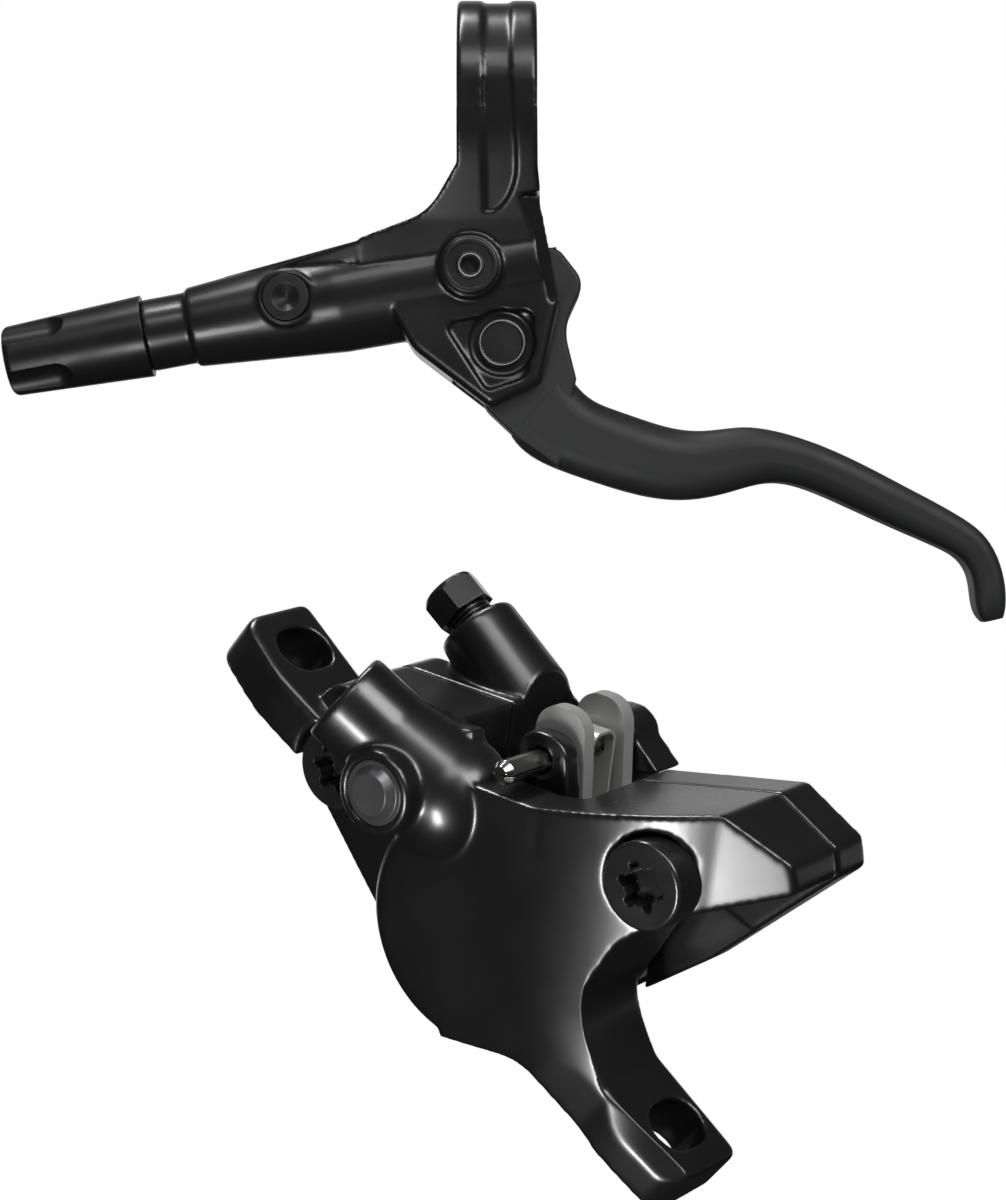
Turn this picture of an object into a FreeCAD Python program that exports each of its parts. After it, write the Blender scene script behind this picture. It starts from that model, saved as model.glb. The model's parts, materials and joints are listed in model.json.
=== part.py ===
import FreeCAD, Part
import math
import os

# Hydraulic disc brake set for a bicycle: a lever assembly that clamps on the handlebar, and a two-piston
# caliper that bolts to the frame or fork. All sizes are in millimetres.
# The origin is the centre of the bar clamp. X runs along the handlebar towards the lever tip, Z points
# from the lever to the bar, and Y points away from the outer face of both assemblies.

os.makedirs("parts", exist_ok=True)
Vector = FreeCAD.Vector

# Clearances
running_fit = 0.05
free_gap = 0.3
side_gap = 0.35
hose_gap = 0.1

# Bar clamp
bar_radius = 11.1
clamp_wall = 3.5
clamp_width = 12.5
clamp_groove_width = 4.6
clamp_groove_depth = 0.4
clamp_slit = 1.6
clamp_slit_drop = 5.0
clamp_lug_reach = 9.0
clamp_lug_height = 6.4
clamp_bolt_radius = 2.5
clamp_head_radius = 4.25
clamp_head_height = 4.0
clamp_bolt_length = 15.0

# Master cylinder and housing
body_tilt = 10.6
pivot_x = 0.8
pivot_z = -40.0
push_arm = 12.0
bore_radius = 5.0
bore_depth = 33.0
body_end = 10.2
body_end_radius = 8.8
body_mid = 24.0
body_mid_radius = 8.35
body_root = 47.7
body_root_radius = 6.3
collar_end = 55.0
collar_radius = 5.7
body_edge = 0.8
end_bevel_length = 2.3
ear_half_depth = 8.0
slot_half_depth = 4.9
neck_half_depth = 6.6
neck_left = 18.5

# Hose end of the master cylinder
hose_thread_radius = 4.0
hose_thread_depth = 9.5
hose_radius = 2.5
hose_nut_flats = 8.0
hose_nut_head = 6.5
olive_length = 2.4
port_radius = 1.1
boot_length = 22.5
boot_end_radius = 5.5
boot_mouth_radius = 6.5
boot_notch_radius = 3.2

# Bleed port and blind plug on the front of the housing
bleed_along = -2.7
bleed_above = 0.5
bleed_boss_radius = 5.0
bleed_boss_height = 0.7
bleed_head_radius = 4.4
bleed_head_height = 1.5
bleed_shank_radius = 2.0
bleed_shank_length = 3.4
bleed_socket_flats = 2.6
bleed_ring_inner = 2.1
bleed_ring_outer = 3.6
bleed_ring_depth = 0.3
plug_along = -31.9
plug_above = 1.2
plug_radius = 3.6
plug_wall = 0.9
plug_depth = 1.6
plug_dimple_radius = 2.2

# Reservoir on the back of the housing
reservoir_length = 24.0
reservoir_height = 14.0
reservoir_start = -28.0
reservoir_depth = 12.0
reservoir_wall = 1.8
reservoir_cavity_depth = 4.6
diaphragm_thickness = 0.8
lid_thickness = 1.6
lid_screw_radius = 1.2
lid_screw_head_radius = 2.0
lid_screw_head_height = 1.0
lid_screw_length = 5.0

# Pivot, blade and reach screw
axle_radius = 3.0
axle_head_radius = 3.7
axle_head_height = 1.2
axle_recess_radius = 5.2
axle_recess_depth = 1.5
pivot_recess_depth = 0.9
axle_rim = 0.5
circlip_thickness = 0.7
circlip_radius = 4.2
bushing_wall = 1.0
bushing_gap = 1.0
blade_root_depth = 9.2
blade_arm_inner = 3.6
blade_arm_outer = 13.0
blade_arm_above = 3.4
blade_hub = 6.4
blade_reach = 79.7
blade_tip_drop = 43.8
reach_screw_radius = 2.0
reach_screw_start = 2.3
reach_screw_length = 9.0
reach_socket_flats = 2.0

# Master piston
piston_front = 24.0
piston_back = 5.0
piston_waist_radius = 3.4
cup_width = 2.6
cup_core_radius = 3.2
land_width = 1.5
pushrod_radius = 2.4
pushrod_seat = 3.0
stop_ring_thickness = 0.8
stop_ring_inner_radius = 3.4
stop_ring_grip = 0.5
spring_radius = 3.6
spring_wire_radius = 0.45
spring_turns = 5

# Caliper placement in the set
caliper_x = -1.1
caliper_y = -118.6
caliper_z = -113.3
caliper_yaw = -27.2
caliper_pitch = 47.5
caliper_roll = 13.75

# Caliper mount: X runs along the mounting line, Y towards the wheel, Z along the mounting bolts
post_spacing = 74.0
ear_thickness = 6.5
ear_end = 6.4
ear_root = 17.0
ear_front = 6.8
ear_back = 6.0
ear_corner = 3.4
ear_crown_inset = 3.0
slot_width = 6.4
slot_length = 8.2

# Caliper body
seam = 9.0
outer_front = -8.0
outer_arm_front = -4.0
inner_arm_back = 15.3
inner_back = 23.6
pad_angle = 33.0
piston_offset = 5.0
bulge_radius = 15.0
inner_bulge_radius = 14.3
bulge_edge = 1.5
right_bolt_along = 22.5
right_bolt_out = 12.7
right_bolt_seat = -3.7
left_bolt_along = -24.2
left_bolt_out = 11.8
left_bolt_seat = -1.4
bolt_radius = 3.0
bolt_head_radius = 5.2
bolt_head_height = 4.6
bolt_reach = 15.0
spot_face_gap = 0.4
lobe_radius = 3.1
rotor_radius = 80.0
rotor_centre_drop = 72.0
rotor_slot = 3.4
bridge_height = 21.5
window_half_width = 9.5
window_sill = 16.9

# Pads, pistons and pad pin
caliper_piston_radius = 11.0
caliper_piston_depth = 7.2
piston_cup_wall = 2.2
seal_width = 2.1
seal_depth = 1.5
seal_setback = 4.5
rotor_gap = 2.4
friction_thickness = 1.9
plate_thickness = 2.0
pocket_gap = 0.6
pad_half_width = 12.6
pad_bottom = -10.5
pad_shoulder = 11.5
tab_radius = 3.2
tab_crest = 5.8
pin_height = 19.2
pin_shift = 1.1
pin_radius = 1.5
pin_front = -7.4
lug_radius = 3.3
lug_thickness = 2.8
inner_lug_thickness = 5.4
outer_lug_foot = 4.0
inner_lug_foot = 6.0
trough_gap = 1.6
trough_drop = 2.5
spring_sheet = 0.4
spring_standoff = 0.7
spring_crest = 2.7

# Hose boss, passage plug and bleed boss of the caliper
hose_boss_radius = 6.0
hose_boss_end = 25.2
hose_boss_front = -9.6
hose_boss_height = 7.6
hose_port_depth = 7.0
dome_radius = 8.0
dome_x = -8.5
dome_front = -3.6
dome_height = 6.4
passage_plug_x = -12.7
passage_plug_z = 5.4
passage_boss_radius = 5.2
passage_boss_front = -14.0
passage_plug_radius = 3.9
passage_face_radius = 2.5
passage_plug_depth = 3.0
nipple_boss_radius = 5.1
nipple_boss_end = 27.8
nipple_boss_depth = 16.0
nipple_boss_height = 10.8
nipple_hex_flats = 7.0
nipple_hex_length = 4.2
nipple_neck = 1.6
nipple_neck_radius = 2.6
nipple_thread_radius = 3.0
nipple_thread_length = 8.0


def save(node, shape):
    """Write one sub-part to its own file."""
    shape.exportStep("parts/%s.step" % node)


def rod(start, end, radius):
    """Round bar between two points."""
    direction = end - start
    return Part.makeCylinder(radius, direction.Length, start, direction)


def tube(start, end, outer, inner):
    """Round tube between two points."""
    return rod(start, end, outer).cut(rod(start, end, inner))


def cone(start, end, start_radius, end_radius):
    """Round taper between two points."""
    direction = end - start
    return Part.makeCone(start_radius, end_radius, direction.Length, start, direction)


def hex_bar(start, end, flats):
    """Hexagonal bar between two points, measured across its flats."""
    corner = flats / math.sqrt(3)
    direction = end - start
    points = [Vector(corner * math.cos(math.radians(60 * k)), corner * math.sin(math.radians(60 * k)), 0)
              for k in range(7)]
    bar = Part.Face(Part.makePolygon(points)).extrude(Vector(0, 0, direction.Length))
    turn = FreeCAD.Rotation(Vector(0, 0, 1), direction)
    bar.Placement = FreeCAD.Placement(start, turn)
    return bar


def lobe_bar(start, end, radius):
    """Six-lobe bar between two points: the negative of a six-lobe socket."""
    direction = end - start
    core = Part.makeCylinder(radius * 0.72, direction.Length)
    bar = core
    for k in range(6):
        angle = math.radians(60 * k)
        spot = Vector(radius * 0.78 * math.cos(angle), radius * 0.78 * math.sin(angle), 0)
        bar = bar.fuse(Part.makeCylinder(radius * 0.22, direction.Length, spot))
    bar = bar.removeSplitter()
    bar.Placement = FreeCAD.Placement(start, FreeCAD.Rotation(Vector(0, 0, 1), direction))
    return bar


def turned(profile, start, direction):
    """Solid of revolution from (distance along the axis, radius) points, closed back along the axis."""
    points = [Vector(along, 0, radius) for along, radius in profile]
    points = [Vector(profile[0][0], 0, 0)] + points + [Vector(profile[-1][0], 0, 0)]
    points.append(points[0])
    solid = Part.Face(Part.makePolygon(points)).revolve(Vector(0, 0, 0), Vector(1, 0, 0), 360)
    solid.Placement = FreeCAD.Placement(start, FreeCAD.Rotation(Vector(1, 0, 0), direction))
    return solid


def rounded_outline(corners, make_point):
    """Closed wire of straight lines and corner arcs; a corner is (u, v, radius) or (u, v)."""
    count = len(corners)
    entries = []
    for k in range(count):
        u, v = corners[k][:2]
        radius = corners[k][2] if len(corners[k]) > 2 else 0
        here = make_point(u, v)
        before = make_point(*corners[k - 1][:2]) - here
        after = make_point(*corners[(k + 1) % count][:2]) - here
        if radius == 0:
            entries.append((here, None, here))
            continue
        half = before.getAngle(after) / 2
        back = Vector(before).normalize()
        ahead = Vector(after).normalize()
        inward = (back + ahead).normalize()
        cut = radius / math.tan(half)
        middle = here + inward * (radius / math.sin(half) - radius)
        entries.append((here + back * cut, middle, here + ahead * cut))
    edges = []
    for k in range(count):
        begin, middle, end = entries[k]
        if middle is not None:
            edges.append(Part.Arc(begin, middle, end).toShape())
        following = entries[(k + 1) % count][0]
        if (following - end).Length > 1e-6:
            edges.append(Part.LineSegment(end, following).toShape())
    return Part.Wire(edges)


def side_prism(corners, front, back):
    """Outline drawn in X and Z, pushed along Y from front to back."""
    wire = rounded_outline(corners, lambda u, v: Vector(u, front, v))
    return Part.Face(wire).extrude(Vector(0, back - front, 0))


def plan_prism(corners, low, high):
    """Outline drawn in X and Y, pushed along Z from low to high."""
    wire = rounded_outline(corners, lambda u, v: Vector(u, v, low))
    return Part.Face(wire).extrude(Vector(0, 0, high - low))


def box(x_range, y_range, z_range):
    """Block between two values on each axis."""
    corner = Vector(x_range[0], y_range[0], z_range[0])
    return Part.makeBox(x_range[1] - x_range[0], y_range[1] - y_range[0], z_range[1] - z_range[0], corner)


def joined(shapes):
    """One solid from several that overlap."""
    first, rest = shapes[0], shapes[1:]
    return first.multiFuse(rest).removeSplitter()


def without(shape, cutters):
    """The shape with every cutter taken away."""
    for cutter in cutters:
        shape = shape.cut(cutter)
    return shape


def rounded_edges(shape, radius, wanted):
    """Fillet the edges that the test picks out."""
    edges = [edge for edge in shape.Edges if wanted(edge)]
    return shape.makeFillet(radius, edges) if edges else shape


def all_points_at(edge, test):
    """True when the whole edge meets a test, sampled at its ends and middle."""
    first, last = edge.ParameterRange
    return all(test(edge.valueAt(first + (last - first) * share)) for share in (0.0, 0.5, 1.0))


# Lever assembly: the master cylinder lies along its own tilted axis. Its frame has X along the cylinder
# towards the blade, Z up towards the bar, and its origin beside the pivot.
tilt = math.radians(body_tilt)
cylinder_origin = Vector(pivot_x - push_arm * math.sin(tilt), 0, pivot_z + push_arm * math.cos(tilt))
cylinder_frame = FreeCAD.Placement(cylinder_origin, FreeCAD.Rotation(Vector(0, 1, 0), -body_tilt))


def on_cylinder(shape):
    """Move a shape from the cylinder's frame to the set's."""
    placed = shape.copy()
    placed.Placement = cylinder_frame.multiply(placed.Placement)
    return placed


def about_pivot(corners):
    """Corners given from the pivot's axis, moved to where the pivot is."""
    return [(pivot_x + corner[0], pivot_z + corner[1]) + tuple(corner[2:]) for corner in corners]


def along_bore(distance):
    """Point on the cylinder's axis, in the cylinder's frame."""
    return Vector(distance, 0, 0)


def body_radius_at(distance):
    """Outer radius of the cylinder body at a distance along its axis."""
    if distance > -body_mid:
        share = (distance + body_mid) / (body_end + body_mid)
        return body_mid_radius + share * (body_end_radius - body_mid_radius)
    share = (distance + body_root) / (body_root - body_mid)
    return body_root_radius + share * (body_mid_radius - body_root_radius)


clamp_radius = bar_radius + clamp_wall
clamp_half = clamp_width / 2
clamp_bolt_y = clamp_radius + clamp_head_radius - 0.4
clamp_slit_z = -clamp_slit_drop
clamp_lug_top = clamp_slit_z + clamp_slit / 2 + clamp_lug_height
clamp_head_seat = clamp_lug_top - clamp_head_height
bleed_front = -body_radius_at(bleed_along) - bleed_boss_height
stop_ring_start = -piston_back + free_gap
plug_front = -body_radius_at(plug_along) - 0.15
reservoir_end = reservoir_start + reservoir_length


def clamp_band():
    """Ring round the bar with two ribs, and the lugs that the clamp bolt pulls together."""
    left = Vector(-clamp_half, 0, 0)
    right = Vector(clamp_half, 0, 0)
    band = rod(left, right, clamp_radius)
    band = rounded_edges(band, 0.7, lambda edge: edge.Length > clamp_radius)
    groove_half = clamp_groove_width / 2
    groove = tube(Vector(-groove_half, 0, 0), Vector(groove_half, 0, 0), clamp_radius + 1,
                  clamp_radius - clamp_groove_depth)
    lug_back = clamp_radius + clamp_lug_reach
    lug_bottom = clamp_slit_z - clamp_slit / 2 - clamp_lug_height
    lug_side = rounded_outline([(bar_radius, lug_bottom - 2), (bar_radius, clamp_lug_top),
                                (lug_back, clamp_lug_top, 2.0), (lug_back, lug_bottom, 2.0)],
                               lambda u, v: Vector(-clamp_half, u, v))
    lugs = Part.Face(lug_side).extrude(Vector(clamp_width, 0, 0))
    return band.cut(groove).fuse(lugs)


def neck():
    """Web that carries the clamp band on the cylinder body, level with the band's front at the top."""
    body_top = pivot_z + push_arm + body_end_radius
    left_foot = -neck_left - 3
    side_view = [(-clamp_radius, 0), (-clamp_radius + 0.6, -9.0, 30.0),
                 (-neck_half_depth - 2.6, body_top - 1.5, 12.0), (-neck_half_depth, body_top - 12),
                 (neck_half_depth, body_top - 12), (neck_half_depth, -bar_radius - 1), (bar_radius, -4), (0, 0)]
    profile = rounded_outline(side_view, lambda u, v: Vector(-60, u, v))
    depth = Part.Face(profile).extrude(Vector(120, 0, 0))
    outline = [(-clamp_half, -4), (clamp_half, -4), (clamp_half + 0.1, -13), (clamp_half + 1.0, body_top - 2),
               (clamp_half, body_top - 10), (left_foot, body_top - 10), (left_foot, body_top - 4.5),
               (-clamp_half - 4.4, body_top - 0.5, 9.0), (-clamp_half, -12.5)]
    return side_prism(outline, -clamp_radius, bar_radius).common(depth)


def pivot_cheeks():
    """Block below the cylinder that holds the pivot axle; the blade slot is cut out of it later."""
    outline = about_pivot([(-18.3, 6.5), (-14.0, -0.9, 6.0), (-1.8, -10.2, 1.6), (6.2, -6.4, 1.4),
                           (body_end - 0.8, 8.0), (body_end - 2.8, 14.0)])
    block = side_prism(outline, -ear_half_depth, ear_half_depth)
    return rounded_edges(block, 1.4, lambda edge: all_points_at(
        edge, lambda p: abs(abs(p.y) - ear_half_depth) < 0.01 and p.z < pivot_z + 7))


def cylinder_body():
    """Turned body of the master cylinder with its collar and bleed boss."""
    body = turned([(-collar_end, collar_radius), (-body_root, collar_radius), (-body_root, body_root_radius),
                   (-body_mid, body_mid_radius), (body_end, body_end_radius)],
                  Vector(0, 0, 0), Vector(1, 0, 0))
    body = rounded_edges(body, body_edge, lambda edge: all_points_at(
        edge, lambda p: abs(p.x - body_end) < 0.01) and edge.Length > 6 * body_end_radius * 0.9)
    boss = rod(Vector(bleed_along, 0, bleed_above), Vector(bleed_along, bleed_front, bleed_above),
               bleed_boss_radius)
    plug_boss = rod(Vector(plug_along, 0, plug_above), Vector(plug_along, plug_front, plug_above),
                    plug_radius + plug_wall)
    return joined([body, boss, plug_boss])


def end_bevel():
    """Slanted cut on the front wall of the cylinder's open end."""
    outer = -body_end_radius
    corners = [(body_end - end_bevel_length, outer), (body_end, -slot_half_depth),
               (body_end + 2, -slot_half_depth), (body_end + 2, outer - 2),
               (body_end - end_bevel_length * 1.5, outer - 2)]
    return plan_prism(corners, -body_end_radius * 0.8, body_end_radius + 1)


def reservoir_block():
    """Rounded box on the back of the body that holds the spare fluid."""
    half = reservoir_height / 2
    outline = [(reservoir_start, -half, 3.0), (reservoir_end, -half, 3.0),
               (reservoir_end, half, 3.0), (reservoir_start, half, 3.0)]
    return side_prism(outline, 0, reservoir_depth)


def reservoir_cavity():
    """Hollow of the reservoir, open at the back."""
    half = reservoir_height / 2 - reservoir_wall
    outline = [(reservoir_start + reservoir_wall, -half, 2.0), (reservoir_end - reservoir_wall, -half, 2.0),
               (reservoir_end - reservoir_wall, half, 2.0), (reservoir_start + reservoir_wall, half, 2.0)]
    return side_prism(outline, reservoir_depth - reservoir_cavity_depth, reservoir_depth + 1)


def lid_screw_spots():
    """Centres of the two lid screws, at opposite corners of the reservoir."""
    inset = reservoir_wall + 0.6
    half = reservoir_height / 2 - inset
    return [(reservoir_start + inset, half), (reservoir_end - inset, -half)]


def blade_slot():
    """Space between the cheeks for the blade's root over its whole travel."""
    outline = about_pivot([(-7.7, 7.5, 3.0), (-5.6, 12.5, 2.0), (-5.1, 21.4, 2.0), (19.2, 24.5), (19.2, -20.0),
                           (-11.8, -20.0), (-7.7, -5.0)])
    return side_prism(outline, -slot_half_depth, slot_half_depth)


def pivot_recess():
    """Triangular pocket round the axle on the front cheek."""
    outline = about_pivot([(-9.2, 3.0, 1.2), (5.4, 5.6, 2.0), (4.0, -5.4, 2.2), (-2.4, -7.6, 1.4)])
    return side_prism(outline, -ear_half_depth - 1, -ear_half_depth + pivot_recess_depth)


def lever_housing():
    """One casting: clamp, neck, master cylinder, reservoir and pivot cheeks."""
    solid = joined([clamp_band(), neck(), pivot_cheeks(), on_cylinder(cylinder_body()),
                    on_cylinder(reservoir_block())])
    groove_end = pivot_z + push_arm + body_end_radius + 1.8
    front_groove = side_prism([(-clamp_groove_width / 2, 0), (clamp_groove_width / 2, 0),
                               (clamp_groove_width / 2, groove_end + 3.0, 1.5),
                               (-clamp_groove_width / 2, groove_end, 1.0)],
                              -clamp_radius - 1, -clamp_radius + clamp_groove_depth)
    reach = clamp_radius + clamp_lug_reach + 1
    slit = box((-clamp_half - 1, clamp_half + 1), (0, reach),
               (clamp_slit_z - clamp_slit / 2, clamp_slit_z + clamp_slit / 2))
    bolt_top = Vector(0, clamp_bolt_y, clamp_lug_top + 1)
    bolt_end = Vector(0, clamp_bolt_y, clamp_head_seat - clamp_bolt_length)
    cutters = [
        rod(Vector(-clamp_half - 3, 0, 0), Vector(clamp_half + 3, 0, 0), bar_radius),
        front_groove,
        slit,
        rod(bolt_top, bolt_end, clamp_bolt_radius),
        rod(bolt_top, Vector(0, clamp_bolt_y, clamp_head_seat), clamp_head_radius + side_gap),
        blade_slot(),
        on_cylinder(end_bevel()),
        pivot_recess(),
        rod(Vector(pivot_x, -ear_half_depth - 1, pivot_z), Vector(pivot_x, ear_half_depth + 1, pivot_z),
            axle_radius),
        rod(Vector(pivot_x, -ear_half_depth - 1, pivot_z),
            Vector(pivot_x, -ear_half_depth + axle_recess_depth, pivot_z), axle_recess_radius),
        on_cylinder(rod(along_bore(-bore_depth), along_bore(body_end + 1), bore_radius)),
        on_cylinder(rod(along_bore(-collar_end - 1), along_bore(-collar_end + hose_thread_depth),
                        hose_thread_radius)),
        on_cylinder(rod(along_bore(-collar_end), along_bore(-bore_depth + 1), port_radius)),
        on_cylinder(reservoir_cavity()),
        on_cylinder(rod(Vector(bleed_along, bleed_front - 1, bleed_above),
                        Vector(bleed_along, bleed_front + bleed_shank_length, bleed_above),
                        bleed_shank_radius)),
        on_cylinder(rod(Vector(plug_along, plug_front - 1, plug_above),
                        Vector(plug_along, plug_front + plug_depth, plug_above), plug_radius)),
        on_cylinder(stop_ring_groove()),
    ]
    for along, height in lid_screw_spots():
        cutters.append(on_cylinder(rod(
            Vector(along, reservoir_depth + 1, height),
            Vector(along, reservoir_depth + lid_thickness + diaphragm_thickness - lid_screw_length, height),
            lid_screw_radius)))
    return without(solid, cutters)


def clamp_bolt():
    """Socket-head bolt that closes the clamp."""
    seat = Vector(0, clamp_bolt_y, clamp_head_seat)
    top = Vector(0, clamp_bolt_y, clamp_head_seat + clamp_head_height)
    bolt = joined([rod(seat, Vector(0, clamp_bolt_y, clamp_head_seat - clamp_bolt_length), clamp_bolt_radius),
                   rod(seat, top, clamp_head_radius)])
    return bolt.cut(hex_bar(Vector(0, clamp_bolt_y, clamp_head_seat + 1.2), top, 4.0))


def stop_ring_groove():
    """Groove in the bore's mouth for the ring that keeps the piston in."""
    end = stop_ring_start + stop_ring_thickness
    return rod(along_bore(stop_ring_start), along_bore(end), bore_radius + stop_ring_grip)


def stop_ring():
    """Spring ring in the bore's mouth, open at one side."""
    end = stop_ring_start + stop_ring_thickness
    ring = tube(along_bore(stop_ring_start), along_bore(end), bore_radius + stop_ring_grip,
                stop_ring_inner_radius)
    gap = box((stop_ring_start - 1, end + 1), (-bore_radius - 3, -stop_ring_inner_radius + 1), (-1.5, 1.5))
    return ring.cut(gap)


def master_piston():
    """Turned piston with a groove for each cup and a seat for the pushrod."""
    radius = bore_radius - running_fit
    front = -piston_front
    back = -piston_back
    profile = [(front, radius), (front + land_width, radius), (front + land_width, cup_core_radius),
               (front + land_width + cup_width, cup_core_radius), (front + land_width + cup_width, radius),
               (front + 2 * land_width + cup_width, radius),
               (front + 2 * land_width + cup_width, piston_waist_radius),
               (back - 2 * land_width - cup_width, piston_waist_radius),
               (back - 2 * land_width - cup_width, radius), (back - land_width - cup_width, radius),
               (back - land_width - cup_width, cup_core_radius), (back - land_width, cup_core_radius),
               (back - land_width, radius), (back, radius)]
    piston = turned(profile, Vector(0, 0, 0), Vector(1, 0, 0))
    return piston.cut(rod(along_bore(back - pushrod_seat), along_bore(back + 1), pushrod_radius))


def piston_cup(start):
    """Rubber cup seal in a groove of the master piston."""
    return tube(along_bore(start), along_bore(start + cup_width), bore_radius - running_fit, cup_core_radius)


def pushrod():
    """Short rod with a round end that the reach screw presses."""
    start = -piston_back - pushrod_seat
    end = reach_screw_start - free_gap
    shank = rod(along_bore(start), along_bore(end), pushrod_radius)
    ball = Part.makeSphere(pushrod_radius * 1.6, along_bore(end - pushrod_radius * 1.6))
    return shank.common(ball.fuse(rod(along_bore(start), along_bore(end - pushrod_radius * 1.6),
                                      pushrod_radius + 1)))


def return_spring():
    """Coil spring between the bottom of the bore and the piston."""
    length = bore_depth - piston_front - 2 * spring_wire_radius - 0.1
    pitch = length / spring_turns
    helix = Part.makeHelix(pitch, length, spring_radius)
    half = spring_wire_radius * 0.9
    section = Part.makePolygon([Vector(spring_radius - half, 0, -half), Vector(spring_radius + half, 0, -half),
                                Vector(spring_radius + half, 0, half), Vector(spring_radius - half, 0, half),
                                Vector(spring_radius - half, 0, -half)])
    coil = Part.Wire(helix).makePipeShell([section], True, True)
    coil.Placement = FreeCAD.Placement(along_bore(-bore_depth + spring_wire_radius + 0.05),
                                       FreeCAD.Rotation(Vector(0, 0, 1), Vector(1, 0, 0)))
    return coil


def hose_nut():
    """Hexagon nut that presses the olive onto the hose."""
    start = -collar_end - hose_nut_head
    end = -collar_end + hose_thread_depth - olive_length
    nut = joined([hex_bar(along_bore(start), along_bore(-collar_end), hose_nut_flats),
                  rod(along_bore(-collar_end), along_bore(end), hose_thread_radius)])
    return nut.cut(rod(along_bore(start - 1), along_bore(end + 1), hose_radius + hose_gap))


def hose_olive():
    """Brass ring at the bottom of the hose thread."""
    end = -collar_end + hose_thread_depth
    return tube(along_bore(end - olive_length), along_bore(end), hose_thread_radius - running_fit,
                hose_radius + hose_gap)


def hose_boot():
    """Rubber sleeve over the hose nut, thinner towards the hose, with scalloped grips at its end."""
    start = -collar_end - boot_length
    mouth = -collar_end
    boot = cone(along_bore(start), along_bore(mouth), boot_end_radius, boot_mouth_radius)
    boot = rounded_edges(boot, 1.2, lambda edge: all_points_at(edge, lambda p: abs(p.x - start) < 0.01))
    corner_radius = hose_nut_flats / math.sqrt(3) + side_gap / 2
    boot = boot.cut(rod(along_bore(mouth - hose_nut_head - side_gap), along_bore(mouth + 1), corner_radius))
    boot = boot.cut(rod(along_bore(start - 1), along_bore(mouth), hose_radius + hose_gap))
    for side in range(4):
        angle = math.radians(45 + 90 * side)
        spread = boot_end_radius + boot_notch_radius - 1.1
        offset = Vector(0, spread * math.cos(angle), spread * math.sin(angle))
        scoop = rod(along_bore(start - 1) + offset, along_bore(start + 7.5) + offset, boot_notch_radius)
        tip = Part.makeSphere(boot_notch_radius, along_bore(start + 7.5) + offset)
        boot = boot.cut(scoop.fuse(tip))
    return boot


def bleed_screw():
    """Flat round screw with a hexagon socket on the bleed port."""
    seat = Vector(bleed_along, bleed_front, bleed_above)
    face = Vector(bleed_along, bleed_front - bleed_head_height, bleed_above)
    head = rod(seat, face, bleed_head_radius)
    head = rounded_edges(head, 0.4, lambda edge: all_points_at(edge, lambda p: abs(p.y - face.y) < 0.01))
    shank = rod(seat, Vector(bleed_along, bleed_front + bleed_shank_length, bleed_above),
                bleed_shank_radius - 0.5)
    socket = hex_bar(seat, face + Vector(0, -1, 0), bleed_socket_flats)
    ring = tube(face + Vector(0, bleed_ring_depth, 0), face + Vector(0, -1, 0), bleed_ring_outer,
                bleed_ring_inner)
    return without(joined([head, shank]), [socket, ring])


def bleed_seal():
    """O-ring on the bleed screw's shank."""
    start = Vector(bleed_along, bleed_front + 0.6, bleed_above)
    end = Vector(bleed_along, bleed_front + 1.8, bleed_above)
    return tube(start, end, bleed_shank_radius, bleed_shank_radius - 0.5)


def blind_plug():
    """Plug with a conical dimple that closes the drilled passage."""
    face = Vector(plug_along, plug_front - 0.2, plug_above)
    floor = Vector(plug_along, plug_front + plug_depth, plug_above)
    plug = rod(floor, face, plug_radius)
    dimple = cone(Vector(plug_along, plug_front + 1.0, plug_above), face + Vector(0, -0.01, 0), 0.4,
                  plug_dimple_radius)
    return plug.cut(dimple)


def reservoir_plate(thickness, start):
    """Flat cover with the reservoir's outline and a hole for each lid screw."""
    half = reservoir_height / 2
    outline = [(reservoir_start, -half, 3.0), (reservoir_end, -half, 3.0),
               (reservoir_end, half, 3.0), (reservoir_start, half, 3.0)]
    plate = side_prism(outline, start, start + thickness)
    for along, height in lid_screw_spots():
        plate = plate.cut(rod(Vector(along, start - 1, height), Vector(along, start + thickness + 1, height),
                              lid_screw_radius))
    return plate


def lid_screws():
    """Two small screws that hold the reservoir lid."""
    seat_y = reservoir_depth + diaphragm_thickness + lid_thickness
    screws = []
    for along, height in lid_screw_spots():
        seat = Vector(along, seat_y, height)
        head_top = Vector(along, seat_y + lid_screw_head_height, height)
        screw = joined([rod(seat, head_top, lid_screw_head_radius),
                        rod(seat, Vector(along, seat_y - lid_screw_length, height), lid_screw_radius)])
        screws.append(screw.cut(hex_bar(Vector(along, seat_y + 0.2, height), head_top, 1.5)))
    return Part.makeCompound(screws)


def pivot_axle():
    """Pin through both cheeks with a flat, slightly dished head at the front."""
    seat_y = -ear_half_depth + axle_recess_depth
    front = Vector(pivot_x, seat_y - axle_head_height, pivot_z)
    end = Vector(pivot_x, ear_half_depth + circlip_thickness + 0.6, pivot_z)
    pin = joined([rod(Vector(pivot_x, seat_y, pivot_z), front, axle_head_radius),
                  rod(Vector(pivot_x, seat_y, pivot_z), end, axle_radius)])
    dish = rod(front + Vector(0, 0.3, 0), front, axle_head_radius - axle_rim)
    groove = tube(Vector(pivot_x, ear_half_depth, pivot_z),
                  Vector(pivot_x, ear_half_depth + circlip_thickness, pivot_z), axle_radius + 1,
                  axle_radius - 0.4)
    return without(pin, [dish, groove])


def axle_circlip():
    """Spring clip in the axle's groove behind the rear cheek."""
    start = Vector(pivot_x, ear_half_depth, pivot_z)
    end = Vector(pivot_x, ear_half_depth + circlip_thickness, pivot_z)
    clip = tube(start, end, circlip_radius, axle_radius - 0.4)
    mouth = box((pivot_x - 1.2, pivot_x + 1.2), (start.y - 1, end.y + 1), (pivot_z - 8, pivot_z))
    return clip.cut(mouth)


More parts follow.
